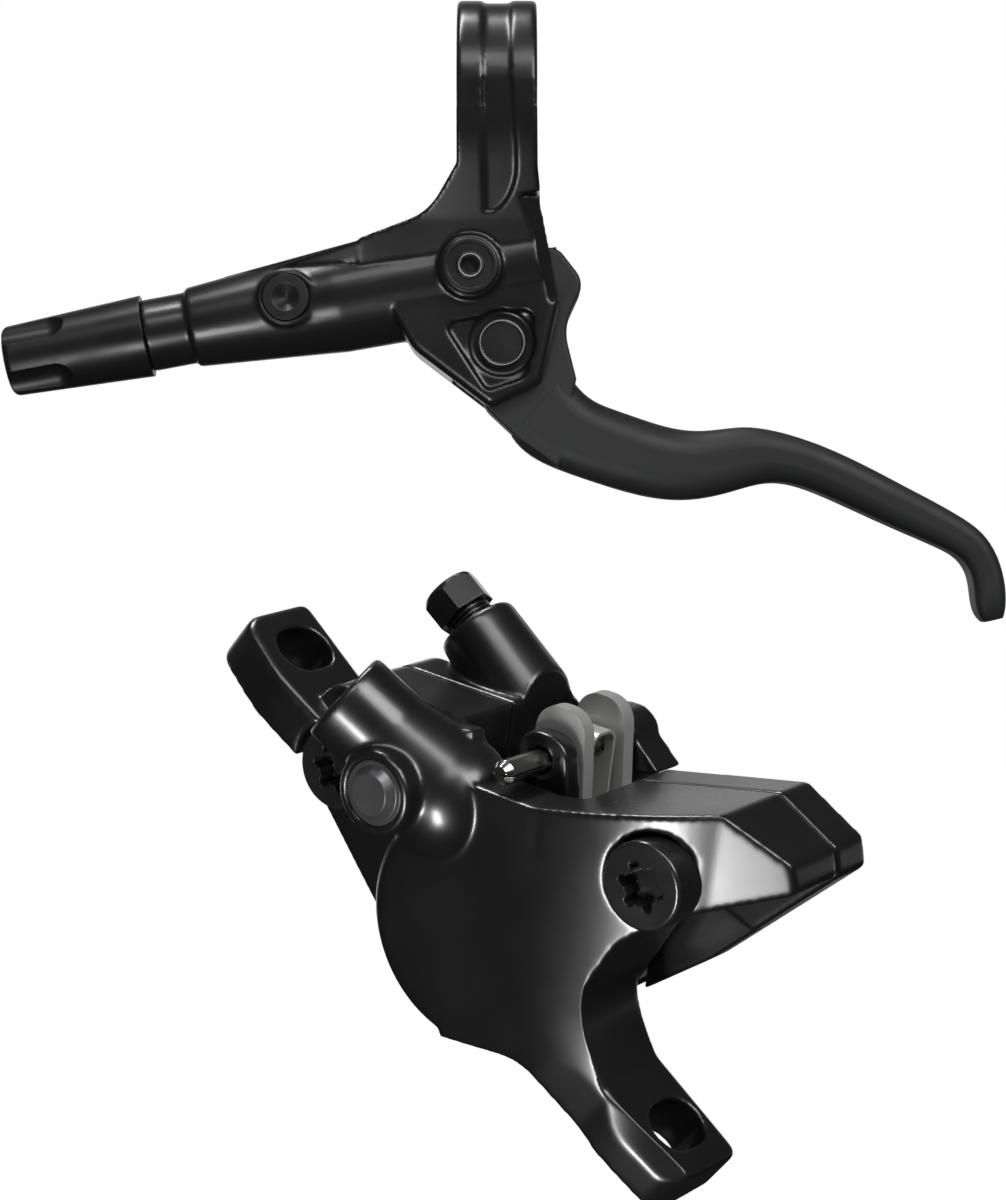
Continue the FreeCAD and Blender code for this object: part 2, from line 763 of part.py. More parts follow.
def blade_bushings():
    """Two plain bushings pressed into the blade from both sides."""
    half = blade_root_depth / 2
    bushings = []
    for side in (-1, 1):
        inner = Vector(pivot_x, side * bushing_gap / 2, pivot_z)
        outer = Vector(pivot_x, side * half, pivot_z)
        bushings.append(tube(inner, outer, axle_radius + bushing_wall, axle_radius + running_fit))
    return Part.makeCompound(bushings)


def finger_section(share, drop_share, width, depth, slope):
    """Rounded section of the blade, square to its centre line, at a share of its reach."""
    centre = Vector(pivot_x + share * blade_reach, 0, pivot_z - drop_share * blade_tip_drop)
    lean = math.radians(slope)
    across = Vector(-math.sin(lean), 0, math.cos(lean))
    corner = 0.36 * min(width, depth)
    corners = [(-width / 2, -depth / 2, corner), (width / 2, -depth / 2, corner),
               (width / 2, depth / 2, corner), (-width / 2, depth / 2, corner)]
    return rounded_outline(corners, lambda u, v: centre + across * u + Vector(0, v, 0))


def brake_blade():
    """Blade: a flat root between the cheeks that grows into the curved two-finger lever."""
    # share of the reach, share of the tip's drop, width, depth and slope of the centre line
    stations = [
        (0.075, 0.213, 13.2, 9.4, -43), (0.194, 0.355, 11.9, 11.0, -27), (0.301, 0.415, 11.4, 11.8, -12),
        (0.424, 0.422, 10.3, 12.0, 2), (0.522, 0.399, 8.4, 12.0, 0), (0.605, 0.431, 7.1, 11.8, -22),
        (0.724, 0.526, 6.7, 11.4, -27), (0.867, 0.653, 5.8, 10.6, -31), (0.934, 0.735, 5.1, 10.0, -50),
        (0.963, 0.858, 5.0, 9.2, -72), (0.969, 0.945, 4.6, 8.4, -77), (0.975, 0.990, 3.0, 6.0, -77),
    ]
    finger = Part.makeLoft([finger_section(*station) for station in stations], True, False)
    half = blade_root_depth / 2
    arm_top = push_arm + blade_arm_above
    root_outline = [(blade_arm_inner, arm_top, 1.2), (blade_arm_outer - 4.2, arm_top - 0.2, 2.8),
                    (blade_arm_outer, arm_top - 5.6, 3.6), (blade_arm_outer - 3.3, 2.6, 8.0),
                    (11.7, -5.4), (9.0, -19.4), (2.6, -14.9), (-2.3, -10.3, 2.0),
                    (-blade_hub, -3.0, 4.0), (1 - blade_hub, 5.0, 4.0), (blade_arm_inner - 0.8, 8.0, 3.0)]
    root = side_prism(about_pivot(root_outline), -half, half)
    root = rounded_edges(root, 0.6, lambda edge: all_points_at(edge, lambda p: abs(abs(p.y) - half) < 0.01))
    blade = joined([root, finger])
    pivot_hole = rod(Vector(pivot_x, -half - 1, pivot_z), Vector(pivot_x, half + 1, pivot_z),
                     axle_radius + bushing_wall)
    screw_hole = on_cylinder(rod(along_bore(reach_screw_start - 2),
                                 along_bore(reach_screw_start + reach_screw_length + 6), reach_screw_radius))
    return without(blade, [pivot_hole, screw_hole])


def reach_screw():
    """Grub screw in the blade's arm: it presses the pushrod and sets the blade's rest position."""
    start = along_bore(reach_screw_start)
    end = along_bore(reach_screw_start + reach_screw_length)
    screw = rod(start, end, reach_screw_radius)
    tip = Part.makeSphere(reach_screw_radius * 1.5, start + Vector(reach_screw_radius * 1.5, 0, 0))
    rest = rod(start + Vector(reach_screw_radius, 0, 0), end, reach_screw_radius + 1)
    return screw.common(tip.fuse(rest)).cut(hex_bar(end - Vector(2.5, 0, 0), end, reach_socket_flats))


# Caliper: built in its own frame and placed as one group. Two more directions are used inside it: "along"
# the pads, at pad_angle to the mounting line, and "out", away from the wheel's axle.
pad_turn = math.radians(pad_angle)
caliper_frame = FreeCAD.Placement(Vector(caliper_x, caliper_y, caliper_z),
                                  FreeCAD.Rotation(caliper_yaw, caliper_pitch, caliper_roll))
half_post = post_spacing / 2
pad_frame = FreeCAD.Placement(Vector(piston_offset, 0, 0), FreeCAD.Rotation(Vector(0, 1, 0), -pad_angle))
outer_plate_front = seam - rotor_gap / 2 - friction_thickness - plate_thickness
inner_plate_back = seam + rotor_gap / 2 + friction_thickness + plate_thickness
pocket_front = outer_plate_front - pocket_gap
pocket_back = inner_plate_back + pocket_gap
inner_lug_back = pocket_back + inner_lug_thickness
bolt_places = [(left_bolt_along, left_bolt_out, left_bolt_seat),
               (right_bolt_along, right_bolt_out, right_bolt_seat)]
hose_boss_mouth = Vector(-hose_boss_end, hose_boss_front, hose_boss_height)
dome_centre = Vector(dome_x, dome_front, dome_height)


def placed(shape):
    """Move a shape from the caliper's frame to the set's."""
    result = shape.copy()
    result.Placement = caliper_frame.multiply(result.Placement)
    return result


def on_pads(shape):
    """Move a shape from the pad frame to the caliper's: X along the pads, Z out from the axle."""
    result = shape.copy()
    result.Placement = pad_frame.multiply(result.Placement)
    return result


def piston_rod(start_y, end_y, radius):
    """Round bar on the piston axis between two depths."""
    return rod(Vector(piston_offset, start_y, 0), Vector(piston_offset, end_y, 0), radius)


def bolt_spot(bolt, depth):
    """Point on a body bolt's axis at a depth."""
    along, out, seat = bolt
    return Vector(along, depth, out)


def mounting_ear(side):
    """Flat ear for one mounting bolt."""
    far = side * (half_post + ear_end)
    near = side * (half_post - ear_root)
    crown = side * (half_post - ear_crown_inset)
    outline = [(near, -ear_front + 1.2), (crown, -ear_front - 0.7, 16.0), (far, -ear_front + 0.8, ear_corner),
               (far, ear_back, 1.2), (near, ear_back - 1.0)]
    ear = plan_prism(outline, -ear_thickness, 0)
    return rounded_edges(ear, 0.8, lambda edge: all_points_at(edge, lambda p: abs(p.z) < 0.01)
                         and abs(edge.CenterOfMass.x - near) > 0.5)


def mounting_slot(side):
    """Slot across an ear, so that the caliper can be centred on the rotor."""
    half = slot_width / 2
    end = slot_length / 2
    middle = side * half_post
    outline = [(middle - half, -end, half * 0.98), (middle + half, -end, half * 0.98),
               (middle + half, end, half * 0.98), (middle - half, end, half * 0.98)]
    return plan_prism(outline, -ear_thickness - 1, 1)


def cheek_outline():
    """Outline of the outer half's cheek and beam, in the pad frame."""
    return [(-12, 13), (-4.5, window_sill, 3.0), (6.5, window_sill, 6.0), (28.6, 22.0, 1.2), (36.6, 17.9, 1.2),
            (37.6, 14.6, 1.0), (24.4, 8.4, 8.0), (19.4, 4.0, 4.0), (14.5, -6.0), (0, -12)]


def beam_plan():
    """Plan view of the cheek: flat over the piston, then slanting back towards the beam's end."""
    return [(-40, outer_front), (7.5, outer_front, 14.0), (28.4, outer_front + 4.6, 4.0),
            (40, outer_front + 7.4), (40, seam), (-40, seam)]


def left_arm_outline():
    """Outline of the arm round the left body bolt, in the pad frame."""
    return [(-29.3, bridge_height, 4.0), (-6.0, bridge_height), (-2.0, 4.0), (-6.0, -12.0), (-17.6, -3.8, 6.0),
            (-29.3, 8.6, 6.0)]


def lower_arm():
    """Arm from the cheek down to the lower ear."""
    foot = half_post - 5.5
    outline = [(12, 14), (16.2, 13.5), (half_post - 15.4, 3.6, 12.0), (foot - 2, -0.1), (foot, -1.2),
               (foot, -ear_thickness), (half_post - 16.6, -ear_thickness, 9.0), (11, -14.2), (4, -8)]
    plan = [(0, outer_front), (foot - 9, outer_front, 10.0), (foot + 0.5, -ear_front),
            (foot + 0.5, ear_back - 1.4), (0, ear_back - 1.4)]
    return side_prism(outline, outer_front, ear_back).common(plan_prism(plan, -20, 20))


def pin_point(depth):
    """Point on the pad pin's axis at a depth, in the pad frame."""
    return Vector(pin_shift, depth, pin_height)


def pin_lug(front, back, root):
    """Rounded lug that holds the pad pin, standing up from a root height."""
    top = pin_height + lug_radius
    outline = [(pin_shift - lug_radius - 1.6, root), (pin_shift - lug_radius, top, lug_radius * 0.98),
               (pin_shift + lug_radius, top, lug_radius * 0.98), (pin_shift + lug_radius + 1.6, root)]
    return on_pads(side_prism(outline, front, back))


def hose_boss():
    """Round boss for the hose with a domed root, leaning outwards towards its end."""
    shoulder = hose_boss_mouth + (dome_centre - hose_boss_mouth) * 0.4
    barrel = rod(hose_boss_mouth, shoulder, hose_boss_radius)
    barrel = barrel.fuse(cone(shoulder, dome_centre, hose_boss_radius, dome_radius))
    barrel = rounded_edges(barrel, 0.6, lambda edge: edge.CenterOfMass.x < -hose_boss_end + 1
                           and edge.Length > 5 * hose_boss_radius)
    dome = Part.makeSphere(dome_radius, dome_centre)
    passage = Vector(passage_plug_x, 0, passage_plug_z)
    plug_boss = rod(passage, passage + Vector(0, passage_boss_front, 0), passage_boss_radius)
    plug_boss = rounded_edges(plug_boss, 0.6, lambda edge: all_points_at(
        edge, lambda p: abs(p.y - passage_boss_front) < 0.01))
    return joined([barrel, dome, plug_boss])


def hose_port():
    """Threaded hole in the hose boss and the passage behind it."""
    inward = (dome_centre - hose_boss_mouth).normalize()
    thread = rod(hose_boss_mouth - inward, hose_boss_mouth + inward * hose_port_depth, hose_thread_radius)
    return thread.fuse(rod(hose_boss_mouth, dome_centre, port_radius))


def rotor_space():
    """Slot for the brake rotor."""
    centre = Vector(0, seam - rotor_slot / 2, -rotor_centre_drop)
    return on_pads(rod(centre, centre + Vector(0, rotor_slot, 0), rotor_radius + 1.2))


def pad_pocket():
    """Space for both pads, open towards the wheel and, through a window, at the outside."""
    half = pad_half_width + 0.5
    pocket = [(-half, -25), (half, -25), (half, pad_shoulder + 0.8, 3.0), (-half, pad_shoulder + 0.8, 3.0)]
    window = [(-window_half_width, 0), (window_half_width, 0), (window_half_width, bridge_height + 12),
              (-window_half_width, bridge_height + 12)]
    return on_pads(side_prism(pocket, pocket_front, pocket_back).fuse(
        side_prism(window, pocket_front, pocket_back)))


def window_trough(front, back):
    """Clearance round a pin lug, down to the window's sill."""
    floor = window_sill - trough_drop
    outline = [(-window_half_width, floor, 2.0), (window_half_width, floor, 2.0),
               (window_half_width, bridge_height + 12), (-window_half_width, bridge_height + 12)]
    return on_pads(side_prism(outline, front, back))


def pin_hole(front, back):
    """Hole for the pad pin."""
    return on_pads(rod(pin_point(front), pin_point(back), pin_radius + running_fit))


def seal_groove(start):
    """Square groove for a piston seal."""
    return piston_rod(start, start + seal_width, caliper_piston_radius + running_fit + seal_depth)


outer_seal_start = outer_plate_front - seal_setback
inner_seal_start = inner_plate_back + seal_setback - seal_width


def caliper_outer_half():
    """Outer half: both mounting ears, the hose boss, the beam's front and the outer piston's bore."""
    bulge = piston_rod(outer_front, seam, bulge_radius)
    bulge = rounded_edges(bulge, bulge_edge, lambda edge: all_points_at(
        edge, lambda p: abs(p.y - outer_front) < 0.01) and edge.Length > bulge_radius)
    cheek = on_pads(side_prism(cheek_outline(), outer_front, seam).common(
        plan_prism(beam_plan(), -40, 60)))
    left_arm = on_pads(side_prism(left_arm_outline(), outer_arm_front, seam))
    solid = joined([bulge, cheek, left_arm, lower_arm(), mounting_ear(-1), mounting_ear(1), hose_boss()])
    lug = pin_lug(pocket_front - lug_thickness, pocket_front, window_sill - outer_lug_foot)
    trough = window_trough(pocket_front - lug_thickness - trough_gap, pocket_front + 0.1)
    solid = solid.cut(trough).fuse(lug)
    bore_floor = outer_plate_front - caliper_piston_depth - free_gap
    cutters = [
        pad_pocket(),
        rotor_space(),
        piston_rod(bore_floor, seam + 1, caliper_piston_radius + running_fit),
        seal_groove(outer_seal_start),
        pin_hole(outer_front - 3, seam),
        mounting_slot(-1),
        mounting_slot(1),
        hose_port(),
        rod(Vector(passage_plug_x, passage_boss_front - 1, passage_plug_z),
            Vector(passage_plug_x, passage_boss_front + passage_plug_depth, passage_plug_z),
            passage_plug_radius),
    ]
    for bolt in bolt_places:
        cutters.append(on_pads(rod(bolt_spot(bolt, outer_front - 8), bolt_spot(bolt, bolt[2]),
                                   bolt_head_radius + spot_face_gap)))
        cutters.append(on_pads(rod(bolt_spot(bolt, outer_front - 1), bolt_spot(bolt, seam + 1),
                                   bolt_radius + running_fit)))
    return without(solid, cutters).removeSplitter()


def inner_side():
    """Everything on the inner half's side of the seam."""
    return box((-post_spacing, post_spacing), (seam, post_spacing), (-post_spacing, post_spacing))


def inner_arm_outline():
    """Outline of the inner half's bridge, in the pad frame."""
    return [(-29.3, bridge_height, 4.0), (-window_half_width, bridge_height), (-window_half_width, window_sill),
            (6.5, window_sill, 6.0), (28.6, 22.0, 1.2), (36.6, 17.9, 1.2), (37.6, 14.6, 1.0), (21.5, -1.8, 10.0),
            (12, -9.5), (-10, -11), (-17.6, -3.8, 6.0), (-29.3, 8.6, 6.0)]


def nipple_boss():
    """Round boss for the bleed nipple with a domed root."""
    end = Vector(-nipple_boss_end, nipple_boss_depth, nipple_boss_height)
    root = Vector(dome_x, nipple_boss_depth, nipple_boss_height - 2)
    barrel = cone(end, root, nipple_boss_radius, nipple_boss_radius + 1.2)
    barrel = rounded_edges(barrel, 0.8, lambda edge: edge.CenterOfMass.x < -nipple_boss_end + 1
                           and edge.Length > 5 * nipple_boss_radius)
    return barrel.fuse(Part.makeSphere(nipple_boss_radius + 1.2, root))


def nipple_axis_point(distance):
    """Point on the bleed nipple's axis, measured inwards from the boss's end."""
    return Vector(-nipple_boss_end + distance, nipple_boss_depth, nipple_boss_height)


def caliper_inner_half():
    """Inner half: the bleed boss, the beam's back and the inner piston's bore."""
    bulge = piston_rod(seam, inner_back, inner_bulge_radius)
    bulge = rounded_edges(bulge, bulge_edge, lambda edge: all_points_at(
        edge, lambda p: abs(p.y - inner_back) < 0.01) and edge.Length > inner_bulge_radius)
    arms = on_pads(side_prism(inner_arm_outline(), seam, inner_arm_back))
    solid = joined([bulge, arms, nipple_boss().common(inner_side())])
    lug = pin_lug(pocket_back, inner_lug_back, window_sill - inner_lug_foot)
    solid = solid.cut(window_trough(pocket_back - 0.1, inner_lug_back + 1.0)).fuse(lug)
    bore_floor = inner_plate_back + caliper_piston_depth + free_gap
    cutters = [
        pad_pocket(),
        rotor_space(),
        piston_rod(seam - 1, bore_floor, caliper_piston_radius + running_fit),
        seal_groove(inner_seal_start),
        pin_hole(seam, inner_lug_back + 5),
        rod(nipple_axis_point(-1), nipple_axis_point(nipple_thread_length + 1), nipple_thread_radius),
    ]
    for bolt in bolt_places:
        cutters.append(on_pads(rod(bolt_spot(bolt, seam - 1), bolt_spot(bolt, bolt_reach), bolt_radius)))
    return without(solid, cutters).removeSplitter()


def body_bolts():
    """Two bolts with six-lobe sockets that hold the halves together."""
    bolts = []
    for bolt in bolt_places:
        seat = bolt_spot(bolt, bolt[2])
        face = bolt_spot(bolt, bolt[2] - bolt_head_height)
        head = rod(seat, face, bolt_head_radius)
        head = rounded_edges(head, 0.5, lambda edge: all_points_at(edge, lambda p: abs(p.y - face.y) < 0.01))
        shank = rod(seat, bolt_spot(bolt, bolt_reach), bolt_radius)
        socket = lobe_bar(bolt_spot(bolt, face.y + 2.6), face, lobe_radius)
        bolts.append(on_pads(joined([head, shank]).cut(socket)))
    return Part.makeCompound(bolts)


def passage_plug():
    """Round plug with a raised face that closes the drilled fluid passage."""
    floor = Vector(passage_plug_x, passage_boss_front + passage_plug_depth, passage_plug_z)
    rim = Vector(passage_plug_x, passage_boss_front + 0.4, passage_plug_z)
    face = Vector(passage_plug_x, passage_boss_front - 0.6, passage_plug_z)
    return joined([rod(floor, rim, passage_plug_radius), cone(rim, face, passage_plug_radius - 0.6,
                                                              passage_face_radius)])


def bleed_nipple():
    """Hexagonal nipple that closes the bleed port."""
    hex_start = nipple_axis_point(-nipple_neck - nipple_hex_length)
    hex_end = nipple_axis_point(-nipple_neck)
    head = hex_bar(hex_start, hex_end, nipple_hex_flats)
    corner = nipple_hex_flats / math.sqrt(3)
    chamfer = cone(hex_start, nipple_axis_point(-nipple_neck), corner - 0.7, corner + 2.4)
    head = head.common(chamfer)
    neck_bar = rod(hex_end, nipple_axis_point(0), nipple_neck_radius)
    shank = rod(nipple_axis_point(0), nipple_axis_point(nipple_thread_length),
                nipple_thread_radius - running_fit)
    bore = rod(hex_start - Vector(1, 0, 0), nipple_axis_point(nipple_thread_length - 2), port_radius)
    return joined([head, neck_bar, shank]).cut(bore)


def pad_plate(front):
    """Steel backing plate of a pad with its round tab, drawn in the pad frame."""
    top = pin_height + tab_crest
    left = pin_shift - tab_radius
    right = pin_shift + tab_radius
    outline = [(-pad_half_width, pad_bottom, 6.0), (pad_half_width, pad_bottom, 6.0),
               (pad_half_width, pad_shoulder - 3.5, 3.0), (right + 1.5, pad_shoulder + 0.2, 3.0),
               (right, top, tab_radius * 0.98), (left, top, tab_radius * 0.98),
               (left - 1.5, pad_shoulder + 0.2, 3.0), (-pad_half_width, pad_shoulder - 3.5, 3.0)]
    plate = side_prism(outline, front, front + plate_thickness)
    hole = rod(pin_point(front - 1), pin_point(front + plate_thickness + 1), pin_radius + free_gap)
    return on_pads(plate.cut(hole))


def friction_block(front):
    """Friction material on a backing plate."""
    half = pad_half_width - 0.6
    outline = [(-half, pad_bottom + 0.6, 5.5), (half, pad_bottom + 0.6, 5.5), (half, pad_shoulder - 4.0, 3.0),
               (-half, pad_shoulder - 4.0, 3.0)]
    return on_pads(side_prism(outline, front, front + friction_thickness))


def pad_pin():
    """Split pin: two half-round legs with tapered ends, and a flat eye behind the inner lug."""
    taper_end = pin_point(pin_front + pin_radius * 0.6)
    whole = rod(taper_end, pin_point(inner_lug_back + 1.4), pin_radius)
    nose = cone(pin_point(pin_front), taper_end, pin_radius * 0.6, pin_radius)
    eye_radius = pin_radius * 1.9
    eye_centre = pin_point(inner_lug_back + 0.6 + eye_radius)
    side = Vector(0, 0, pin_radius * 0.5)
    eye = tube(eye_centre - side, eye_centre + side, eye_radius, eye_radius - pin_radius)
    legs = joined([whole, nose])
    split = box((-3, 3 + pin_shift), (pin_front - 1, pin_front + 8), (pin_height - 0.12, pin_height + 0.12))
    return on_pads(legs.cut(split).fuse(eye))


def pad_spring():
    """Sheet spring between the pad tabs: two legs and a rounded crest, with a hole for the pin."""
    front = outer_plate_front + plate_thickness + spring_standoff
    back = inner_plate_back - plate_thickness - spring_standoff
    half_width = 3.0
    crest = pin_height + spring_crest
    foot = pad_shoulder - 1.6
    outer = [(front, foot), (front, crest, 1.6), (back, crest, 1.6), (back, foot)]
    inner = [(front + spring_sheet, foot - 1), (front + spring_sheet, crest - spring_sheet, 1.2),
             (back - spring_sheet, crest - spring_sheet, 1.2), (back - spring_sheet, foot - 1)]
    left = pin_shift - half_width
    shell = Part.Face(rounded_outline(outer, lambda u, v: Vector(left, u, v)))
    hollow = Part.Face(rounded_outline(inner, lambda u, v: Vector(left - 1, u, v)))
    sheet = shell.extrude(Vector(2 * half_width, 0, 0)).cut(hollow.extrude(Vector(2 * half_width + 2, 0, 0)))
    hole = rod(pin_point(front - 1), pin_point(back + 1), pin_radius + free_gap)
    return on_pads(sheet.cut(hole))


def caliper_piston(open_end, direction):
    """Cup-shaped piston that starts at the pad plate and points along a direction (-1 or 1 on Y)."""
    end = open_end + direction * caliper_piston_depth
    cup = piston_rod(open_end, end, caliper_piston_radius)
    hollow = piston_rod(open_end, end - direction * piston_cup_wall, caliper_piston_radius - piston_cup_wall)
    return cup.cut(hollow)


def piston_seal(start):
    """Square rubber ring round a caliper piston."""
    return piston_rod(start, start + seal_width, caliper_piston_radius + running_fit + seal_depth).cut(
        piston_rod(start, start + seal_width, caliper_piston_radius + running_fit))


save("lever_housing", lever_housing())
save("clamp_bolt", clamp_bolt())
save("hose_boot", on_cylinder(hose_boot()))
save("hose_nut", on_cylinder(hose_nut()))
save("hose_olive", on_cylinder(hose_olive()))
save("bleed_screw", on_cylinder(bleed_screw()))
save("bleed_screw_seal", on_cylinder(bleed_seal()))
save("blind_plug", on_cylinder(blind_plug()))
save("reservoir_diaphragm", on_cylinder(reservoir_plate(diaphragm_thickness, reservoir_depth)))
save("reservoir_lid", on_cylinder(reservoir_plate(lid_thickness, reservoir_depth + diaphragm_thickness)))
save("lid_screws", on_cylinder(lid_screws()))
save("pivot_axle", pivot_axle())
save("axle_circlip", axle_circlip())
save("piston_stop_ring", on_cylinder(stop_ring()))
save("return_spring", on_cylinder(return_spring()))
save("master_piston", on_cylinder(master_piston()))
save("primary_cup", on_cylinder(piston_cup(-piston_front + land_width)))
save("secondary_cup", on_cylinder(piston_cup(-piston_back - land_width - cup_width)))
save("pushrod", on_cylinder(pushrod()))
save("brake_blade", brake_blade())
save("blade_bushings", blade_bushings())
save("reach_screw", on_cylinder(reach_screw()))

save("caliper_outer_half", placed(caliper_outer_half()))
save("caliper_inner_half", placed(caliper_inner_half()))
save("body_bolts", placed(body_bolts()))
save("passage_plug", placed(passage_plug()))
save("bleed_nipple", placed(bleed_nipple()))
save("pad_pin", placed(pad_pin()))
save("pad_spring", placed(pad_spring()))
save("outer_pad_plate", placed(pad_plate(outer_plate_front)))
save("outer_friction", placed(friction_block(outer_plate_front + plate_thickness)))
save("inner_pad_plate", placed(pad_plate(inner_plate_back - plate_thickness)))
save("inner_friction", placed(friction_block(inner_plate_back - plate_thickness - friction_thickness)))
save("outer_piston", placed(caliper_piston(outer_plate_front, -1)))
save("inner_piston", placed(caliper_piston(inner_plate_back, 1)))
save("outer_piston_seal", placed(piston_seal(outer_seal_start)))
save("inner_piston_seal", placed(piston_seal(inner_seal_start)))
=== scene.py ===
# %% [markdown]
# # Dressing a hydraulic disc brake
# The object is a bicycle brake set: a lever assembly that clamps on the handlebar, and a caliper that
# squeezes a rotor. The solids come from a CAD model and stay where they are. This lesson gives them their
# finishes, re-skins the lever's housing and the caliper's halves so that their edges look cast or forged, adds
# a few thin rims and ridges, and lights the set as a product photograph.

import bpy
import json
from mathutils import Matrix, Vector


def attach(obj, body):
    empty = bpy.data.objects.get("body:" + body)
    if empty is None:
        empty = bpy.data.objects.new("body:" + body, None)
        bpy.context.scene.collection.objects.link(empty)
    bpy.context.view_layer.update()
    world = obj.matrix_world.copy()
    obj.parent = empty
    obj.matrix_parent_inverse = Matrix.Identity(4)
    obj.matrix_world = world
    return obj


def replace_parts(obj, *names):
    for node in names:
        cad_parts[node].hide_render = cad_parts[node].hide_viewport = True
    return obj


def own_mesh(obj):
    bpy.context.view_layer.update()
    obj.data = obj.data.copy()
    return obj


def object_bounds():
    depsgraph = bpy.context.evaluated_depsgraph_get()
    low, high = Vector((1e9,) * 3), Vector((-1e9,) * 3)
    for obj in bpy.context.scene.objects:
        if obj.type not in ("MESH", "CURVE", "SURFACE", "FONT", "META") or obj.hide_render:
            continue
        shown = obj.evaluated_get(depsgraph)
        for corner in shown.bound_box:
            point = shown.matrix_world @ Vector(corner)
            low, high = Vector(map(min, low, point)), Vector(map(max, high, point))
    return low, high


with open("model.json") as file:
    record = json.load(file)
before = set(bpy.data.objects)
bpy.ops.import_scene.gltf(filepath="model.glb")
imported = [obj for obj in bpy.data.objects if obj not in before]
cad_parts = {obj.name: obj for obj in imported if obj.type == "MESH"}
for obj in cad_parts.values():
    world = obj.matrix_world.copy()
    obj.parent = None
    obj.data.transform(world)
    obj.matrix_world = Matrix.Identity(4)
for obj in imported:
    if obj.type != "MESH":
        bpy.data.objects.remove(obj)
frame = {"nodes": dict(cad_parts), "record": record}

# %% Tools and units
import json
import math

import bmesh
import bpy
import numpy as np
from mathutils import Euler, Matrix, Vector

MM = 0.001
cad_low, cad_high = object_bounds()
print("CAD box in mm:", [round(c / MM, 1) for c in cad_low], [round(c / MM, 1) for c in cad_high])

# %% [markdown]
# ## The camera
# A product photograph of two separate assemblies is taken from far enough away that both look nearly flat.
# A camera without perspective would be simpler, but then the caliper would come out too small: it hangs
# nearer to the camera than the lever does. So a 90 mm lens stands about half a metre from the lever, level
# and square to it.

# %% Camera
camera_data = bpy.data.cameras.new("product_camera")
camera_data.lens = 90.0
camera_data.sensor_width = 36.0
camera_data.dof.use_dof = False
camera_data.clip_start = 0.01
camera_data.clip_end = 20.0
camera = bpy.data.objects.new("product_camera", camera_data)
camera.location = Vector((0.95, -476.0, -80.2)) * MM
camera.rotation_euler = (math.radians(90), 0.0, 0.0)
bpy.context.scene.collection.objects.link(camera)
bpy.context.scene.camera = camera
bpy.context.scene.view_settings.view_transform = "Standard"
print("camera at", [round(c / MM, 1) for c in camera.location], "mm, lens", camera_data.lens)

# %% [markdown]
# ## Nodes in short
# Rooms, floors and finishes are all small node trees. Each could be clicked together in the shader editor.
# In code, four short helpers say what is joined to what, so that a tree reads like a sum.

# %% Node helpers
def add_node(tree, kind, **values):
    """A shader node with its sockets and settings filled in by name."""
    node = tree.nodes.new(kind)
    for name, value in values.items():
        if name in node.inputs:
            node.inputs[name].default_value = value
        else:
            setattr(node, name, value)
    return node


def link(tree, source, target):
    """Join an output to an input."""
    tree.links.new(source, target)


def remap(tree, source, start, end, low=0.0, high=1.0):
    """The source stretched so that start gives low and end gives high."""
    node = add_node(tree, "ShaderNodeMapRange")
    for name, value in (("From Min", start), ("From Max", end), ("To Min", low), ("To Max", high)):
        node.inputs[name].default_value = value
    link(tree, source, node.inputs["Value"])
    return node.outputs[0]


def maths(tree, operation, first, second):
    """One sum on two outputs, or on an output and a number."""
    node = add_node(tree, "ShaderNodeMath", operation=operation)
    for place, value in enumerate((first, second)):
        if isinstance(value, float):
            node.inputs[place].default_value = value
        else:
            link(tree, value, node.inputs[place])
    return node.outputs[0]


# %% [markdown]
# ## The studio
# The set hangs over a pale floor in front of a white room. Black paint shows what stands around it, and a room
# that is white on every side would turn it grey. So the camera and glass see white wherever they look, by the
# kind of ray, while gloss finds white only straight behind the object and a dim room on the camera's side, as
# with black cards beside a real camera. That white part behind is there for every other ray as well, so it
# also lights the object's edges a little from behind.

# %% Room
ROOM_SIDE = 0.05
ROOM_BEHIND = 1.0
WHITE_STARTS = 0.7

room = bpy.data.worlds.new("studio")
bpy.context.scene.world = room
room.use_nodes = True
tree = room.node_tree
tree.nodes.clear()
where = add_node(tree, "ShaderNodeTexCoord")
parts = add_node(tree, "ShaderNodeSeparateXYZ")
link(tree, where.outputs["Generated"], parts.inputs[0])
behind = remap(tree, parts.outputs["Y"], WHITE_STARTS, 1.0, ROOM_SIDE, ROOM_BEHIND)
rays = add_node(tree, "ShaderNodeLightPath")
seen = maths(tree, "MAXIMUM", rays.outputs["Is Camera Ray"], rays.outputs["Is Transmission Ray"])
strength = add_node(tree, "ShaderNodeMix")
strength.inputs["B"].default_value = 1.0
link(tree, seen, strength.inputs["Factor"])
link(tree, behind, strength.inputs["A"])
background = add_node(tree, "ShaderNodeBackground", Color=(1.0, 1.0, 1.0, 1.0))
link(tree, strength.outputs[0], background.inputs["Strength"])
room_out = add_node(tree, "ShaderNodeOutputWorld")
link(tree, background.outputs[0], room_out.inputs["Surface"])
print("room: %.2f beside the camera, %.2f behind the object" % (ROOM_SIDE, ROOM_BEHIND))

# %% [markdown]
# The floor is one large square, a quarter of a metre below the caliper, so that no hard shadow falls in the
# picture. It glows white to the camera and adds a matt shader to that, so only a faint shadow is left. Beneath
# the object it is dark to reflections alone, again like a black card, which keeps the caliper's flat cheek
# black. Far behind the object it is white to them too, as the room is there.

# %% Floor
FLOOR_DROP = 0.25
FLOOR_REACH = 6.0

